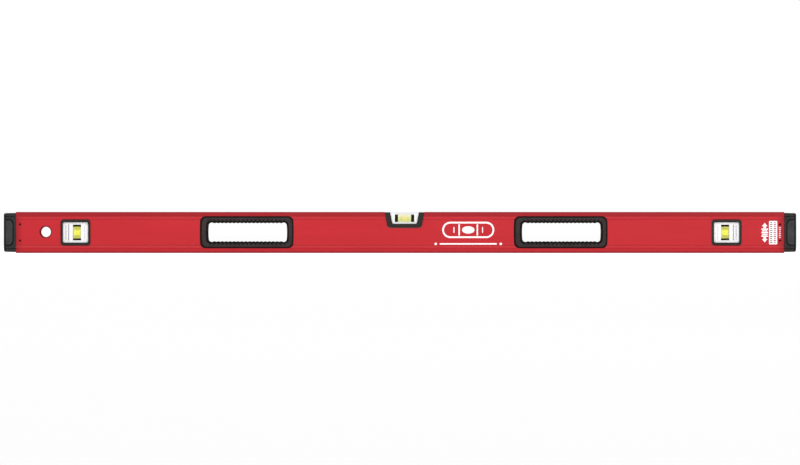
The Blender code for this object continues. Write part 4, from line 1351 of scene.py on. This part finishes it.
def add_pictogram(materials):
    """A vial drawn in outline with its bubble and sight lines: a plain sign for a level."""
    middle = (105.0 * MM, 4.0 * MM)
    across, up = middle
    line = 2.6 * MM
    half_width = 40.0 * MM
    half_height = 12.5 * MM
    sight_half = half_height - line - 1.2 * MM
    round_ends = 0.1 * MM           # the arcs stop this far short of meeting
    shapes = [
        [
            rectangle(half_width, half_height, half_height - round_ends, middle, 16),
            rectangle(half_width - line, half_height - line, half_height - line - round_ends,
                      middle, 16),
        ],
        [ellipse(9.5 * MM, 5.6 * MM, 48, middle)],
    ]
    for side in SIDES:
        sight = (across + side * 14.0 * MM, up)
        shapes.append([rectangle(1.1 * MM, sight_half, 0.5 * MM, sight, 4)])
        outer = (across + side * 22.0 * MM, up)
        shapes.append([rectangle(0.7 * MM, 4.5 * MM, 0.4 * MM, outer, 4)])
    add_print("vial_pictogram", shapes, materials["white_ink"])
    base_height = -17.5 * MM
    shapes = [[rectangle(44.0 * MM, 1.1 * MM, 1.0 * MM, (across, base_height), 6)]]
    for side in SIDES:
        shapes.append([circle(1.9 * MM, 32, (across + side * 50.0 * MM, base_height))])
    add_print("pictogram_base_line", shapes, materials["white_ink"])


def arrow_head(across, tip, direction):
    """A short upright arrow pointing up or down, with its tip at the given height."""
    head_base = tip - direction * 5.2 * MM
    tail = tip - direction * 8.2 * MM
    half_head = 4.3 * MM
    half_shaft = 2.0 * MM
    return [
        (across, tip),
        (across + half_head, head_base),
        (across + half_shaft, head_base),
        (across + half_shaft, tail),
        (across - half_shaft, tail),
        (across - half_shaft, head_base),
        (across - half_head, head_base),
    ]


def add_height_sign(materials):
    """Two arrows, up and down, with plain rungs between them."""
    half_height = 15.0 * MM
    arrows = [arrow_head(SIGN_X, SIGN_HEIGHT + way * half_height, way) for way in (-1, 1)]
    rungs = bar_column((SIGN_X, SIGN_HEIGHT), count=5, pitch=2.7 * MM,
                       half_widths=[5.1 * MM, 4.1 * MM], half_height=0.95 * MM, corner=0.3 * MM)
    add_print("height_sign", [[shape] for shape in arrows + rungs], materials["white_ink"])


def add_label(materials):
    """A white label with rows of plain bars and blocks."""
    label = rectangle(6.3 * MM, 18.0 * MM, 1.2 * MM, (LABEL_X, SIGN_HEIGHT), 6)
    add_print("end_label", [[label]], materials["white_ink"])
    columns = {     # place beside the label's middle, half widths, half height, ink
        "bars": (-2.9 * MM, [2.1 * MM, 1.5 * MM, 1.8 * MM], 0.8 * MM, "grey_ink"),
        "blocks": (2.7 * MM, [1.2 * MM, 2.0 * MM], 1.0 * MM, "pink_ink"),
    }
    for name, (beside, half_widths, half_height, ink_name) in columns.items():
        column = bar_column((LABEL_X + beside, SIGN_HEIGHT), 11, 3.05 * MM, half_widths,
                            half_height, 0.25 * MM)
        add_print("end_label_" + name, [[bar] for bar in column], materials[ink_name],
                  INK_LOW - 0.06 * MM, INK_LOW - 0.01 * MM)


def add_strip(materials):
    """A narrow column of bars between the label and the cap."""
    column = bar_column((STRIP_X, 0.0), count=6, pitch=3.0 * MM,
                        half_widths=[1.2 * MM, 1.5 * MM, 1.5 * MM], half_height=0.95 * MM,
                        corner=0.4 * MM)
    add_print("end_strip", [[bar] for bar in column], materials["rose_ink"])


# CAD nodes that stay, with better materials

def dress_cad_nodes(materials):
    for name, node in NODES.items():
        if "_lens_" in name:
            material = materials["lens"]
        elif name.endswith("_vial_plug"):
            material = materials["block"]
        elif name.endswith("_frame"):
            material = materials["rim"]
        elif "_screw_" in name or name.endswith("_bracket"):
            material = materials["zinc"]
        else:
            continue
        for slot in node.material_slots:
            slot.material = material


# Floor, light and camera

FLOOR_RADIUS = 60.0
FLOOR_TOP = -0.5 * MM
FLOOR_THICKNESS = 19.5 * MM


def add_floor():
    outline = circle(FLOOR_RADIUS, 96)
    stations = [(outline, FLOOR_TOP - FLOOR_THICKNESS), (outline, FLOOR_TOP)]
    s = Surface("pale_floor", 0.9, Specular_IOR_Level=0.1, Emission_Color=WHITE,
                Emission_Strength=0.48)
    drift = s.noise(even(0.4))
    s.paint(drift, (0.93, 0.93, 0.93, 1.0), (0.95, 0.95, 0.95, 1.0))
    lofted("floor", stations, along_z, s.material)


def add_softbox(name, place, size, power):
    """A soft rectangular light aimed at the level's middle."""
    light = bpy.data.lights.new(name, "AREA")
    light.shape = "RECTANGLE"
    light.size, light.size_y = size
    light.energy = power
    lamp = bpy.data.objects.new(name, light)
    lamp.location = place
    aim = Vector((0.0, 0.0, MID)) - Vector(place)
    lamp.rotation_euler = aim.to_track_quat("-Z", "Y").to_euler()
    bpy.context.scene.collection.objects.link(lamp)


def add_world():
    """A white studio: what the camera sees is white, and what lights the object is softer."""
    softer = 0.53
    world = bpy.data.worlds.new("studio")
    world.use_nodes = True
    nodes = world.node_tree.nodes
    links = world.node_tree.links
    background = nodes["Background"]
    background.inputs["Color"].default_value = WHITE
    rays = nodes.new("ShaderNodeLightPath")
    strength = nodes.new("ShaderNodeMapRange")
    strength.inputs["To Min"].default_value = softer
    strength.inputs["To Max"].default_value = 1.0
    links.new(rays.outputs["Is Camera Ray"], strength.inputs["Value"])
    links.new(strength.outputs["Result"], background.inputs["Strength"])
    bpy.context.scene.world = world


PICTURE_WIDTH = 1.2325              # how wide a stretch at the level the picture shows
LENS = 300.0
SENSOR_WIDTH = 36.0


def add_lights():
    add_softbox("key_softbox", (-0.6, -2.6, 2.4), (3.2, 1.6), 50.0)
    add_softbox("fill_softbox", (1.4, -2.8, 0.9), (2.0, 1.6), 16.0)
    add_softbox("rear_softbox", (0.4, 2.6, 2.2), (3.0, 1.6), 34.0)


def add_camera():
    """A long lens straight in front of the beam's middle, as in the photo."""
    camera = bpy.data.cameras.new("photo_camera")
    camera.lens = LENS
    camera.sensor_width = SENSOR_WIDTH
    camera.clip_end = 400.0
    distance = PICTURE_WIDTH * LENS / SENSOR_WIDTH
    holder = bpy.data.objects.new("photo_camera", camera)
    holder.location = (0.0, -distance, MID)
    holder.rotation_euler = (math.pi / 2, 0.0, 0.0)
    bpy.context.scene.collection.objects.link(holder)
    bpy.context.scene.camera = holder
    bpy.context.scene.view_settings.view_transform = "Standard"


def main():
    materials = make_materials()
    add_beam(materials)
    for side in SIDES:
        add_end_cap(side, materials)
        add_plumb_window(side, materials)
        for facing in FACES:
            add_grip_skin(side, facing, materials)
    add_level_window(materials)
    add_pictogram(materials)
    add_height_sign(materials)
    add_label(materials)
    add_strip(materials)
    dress_cad_nodes(materials)
    add_floor()
    add_world()
    add_lights()
    add_camera()


main()
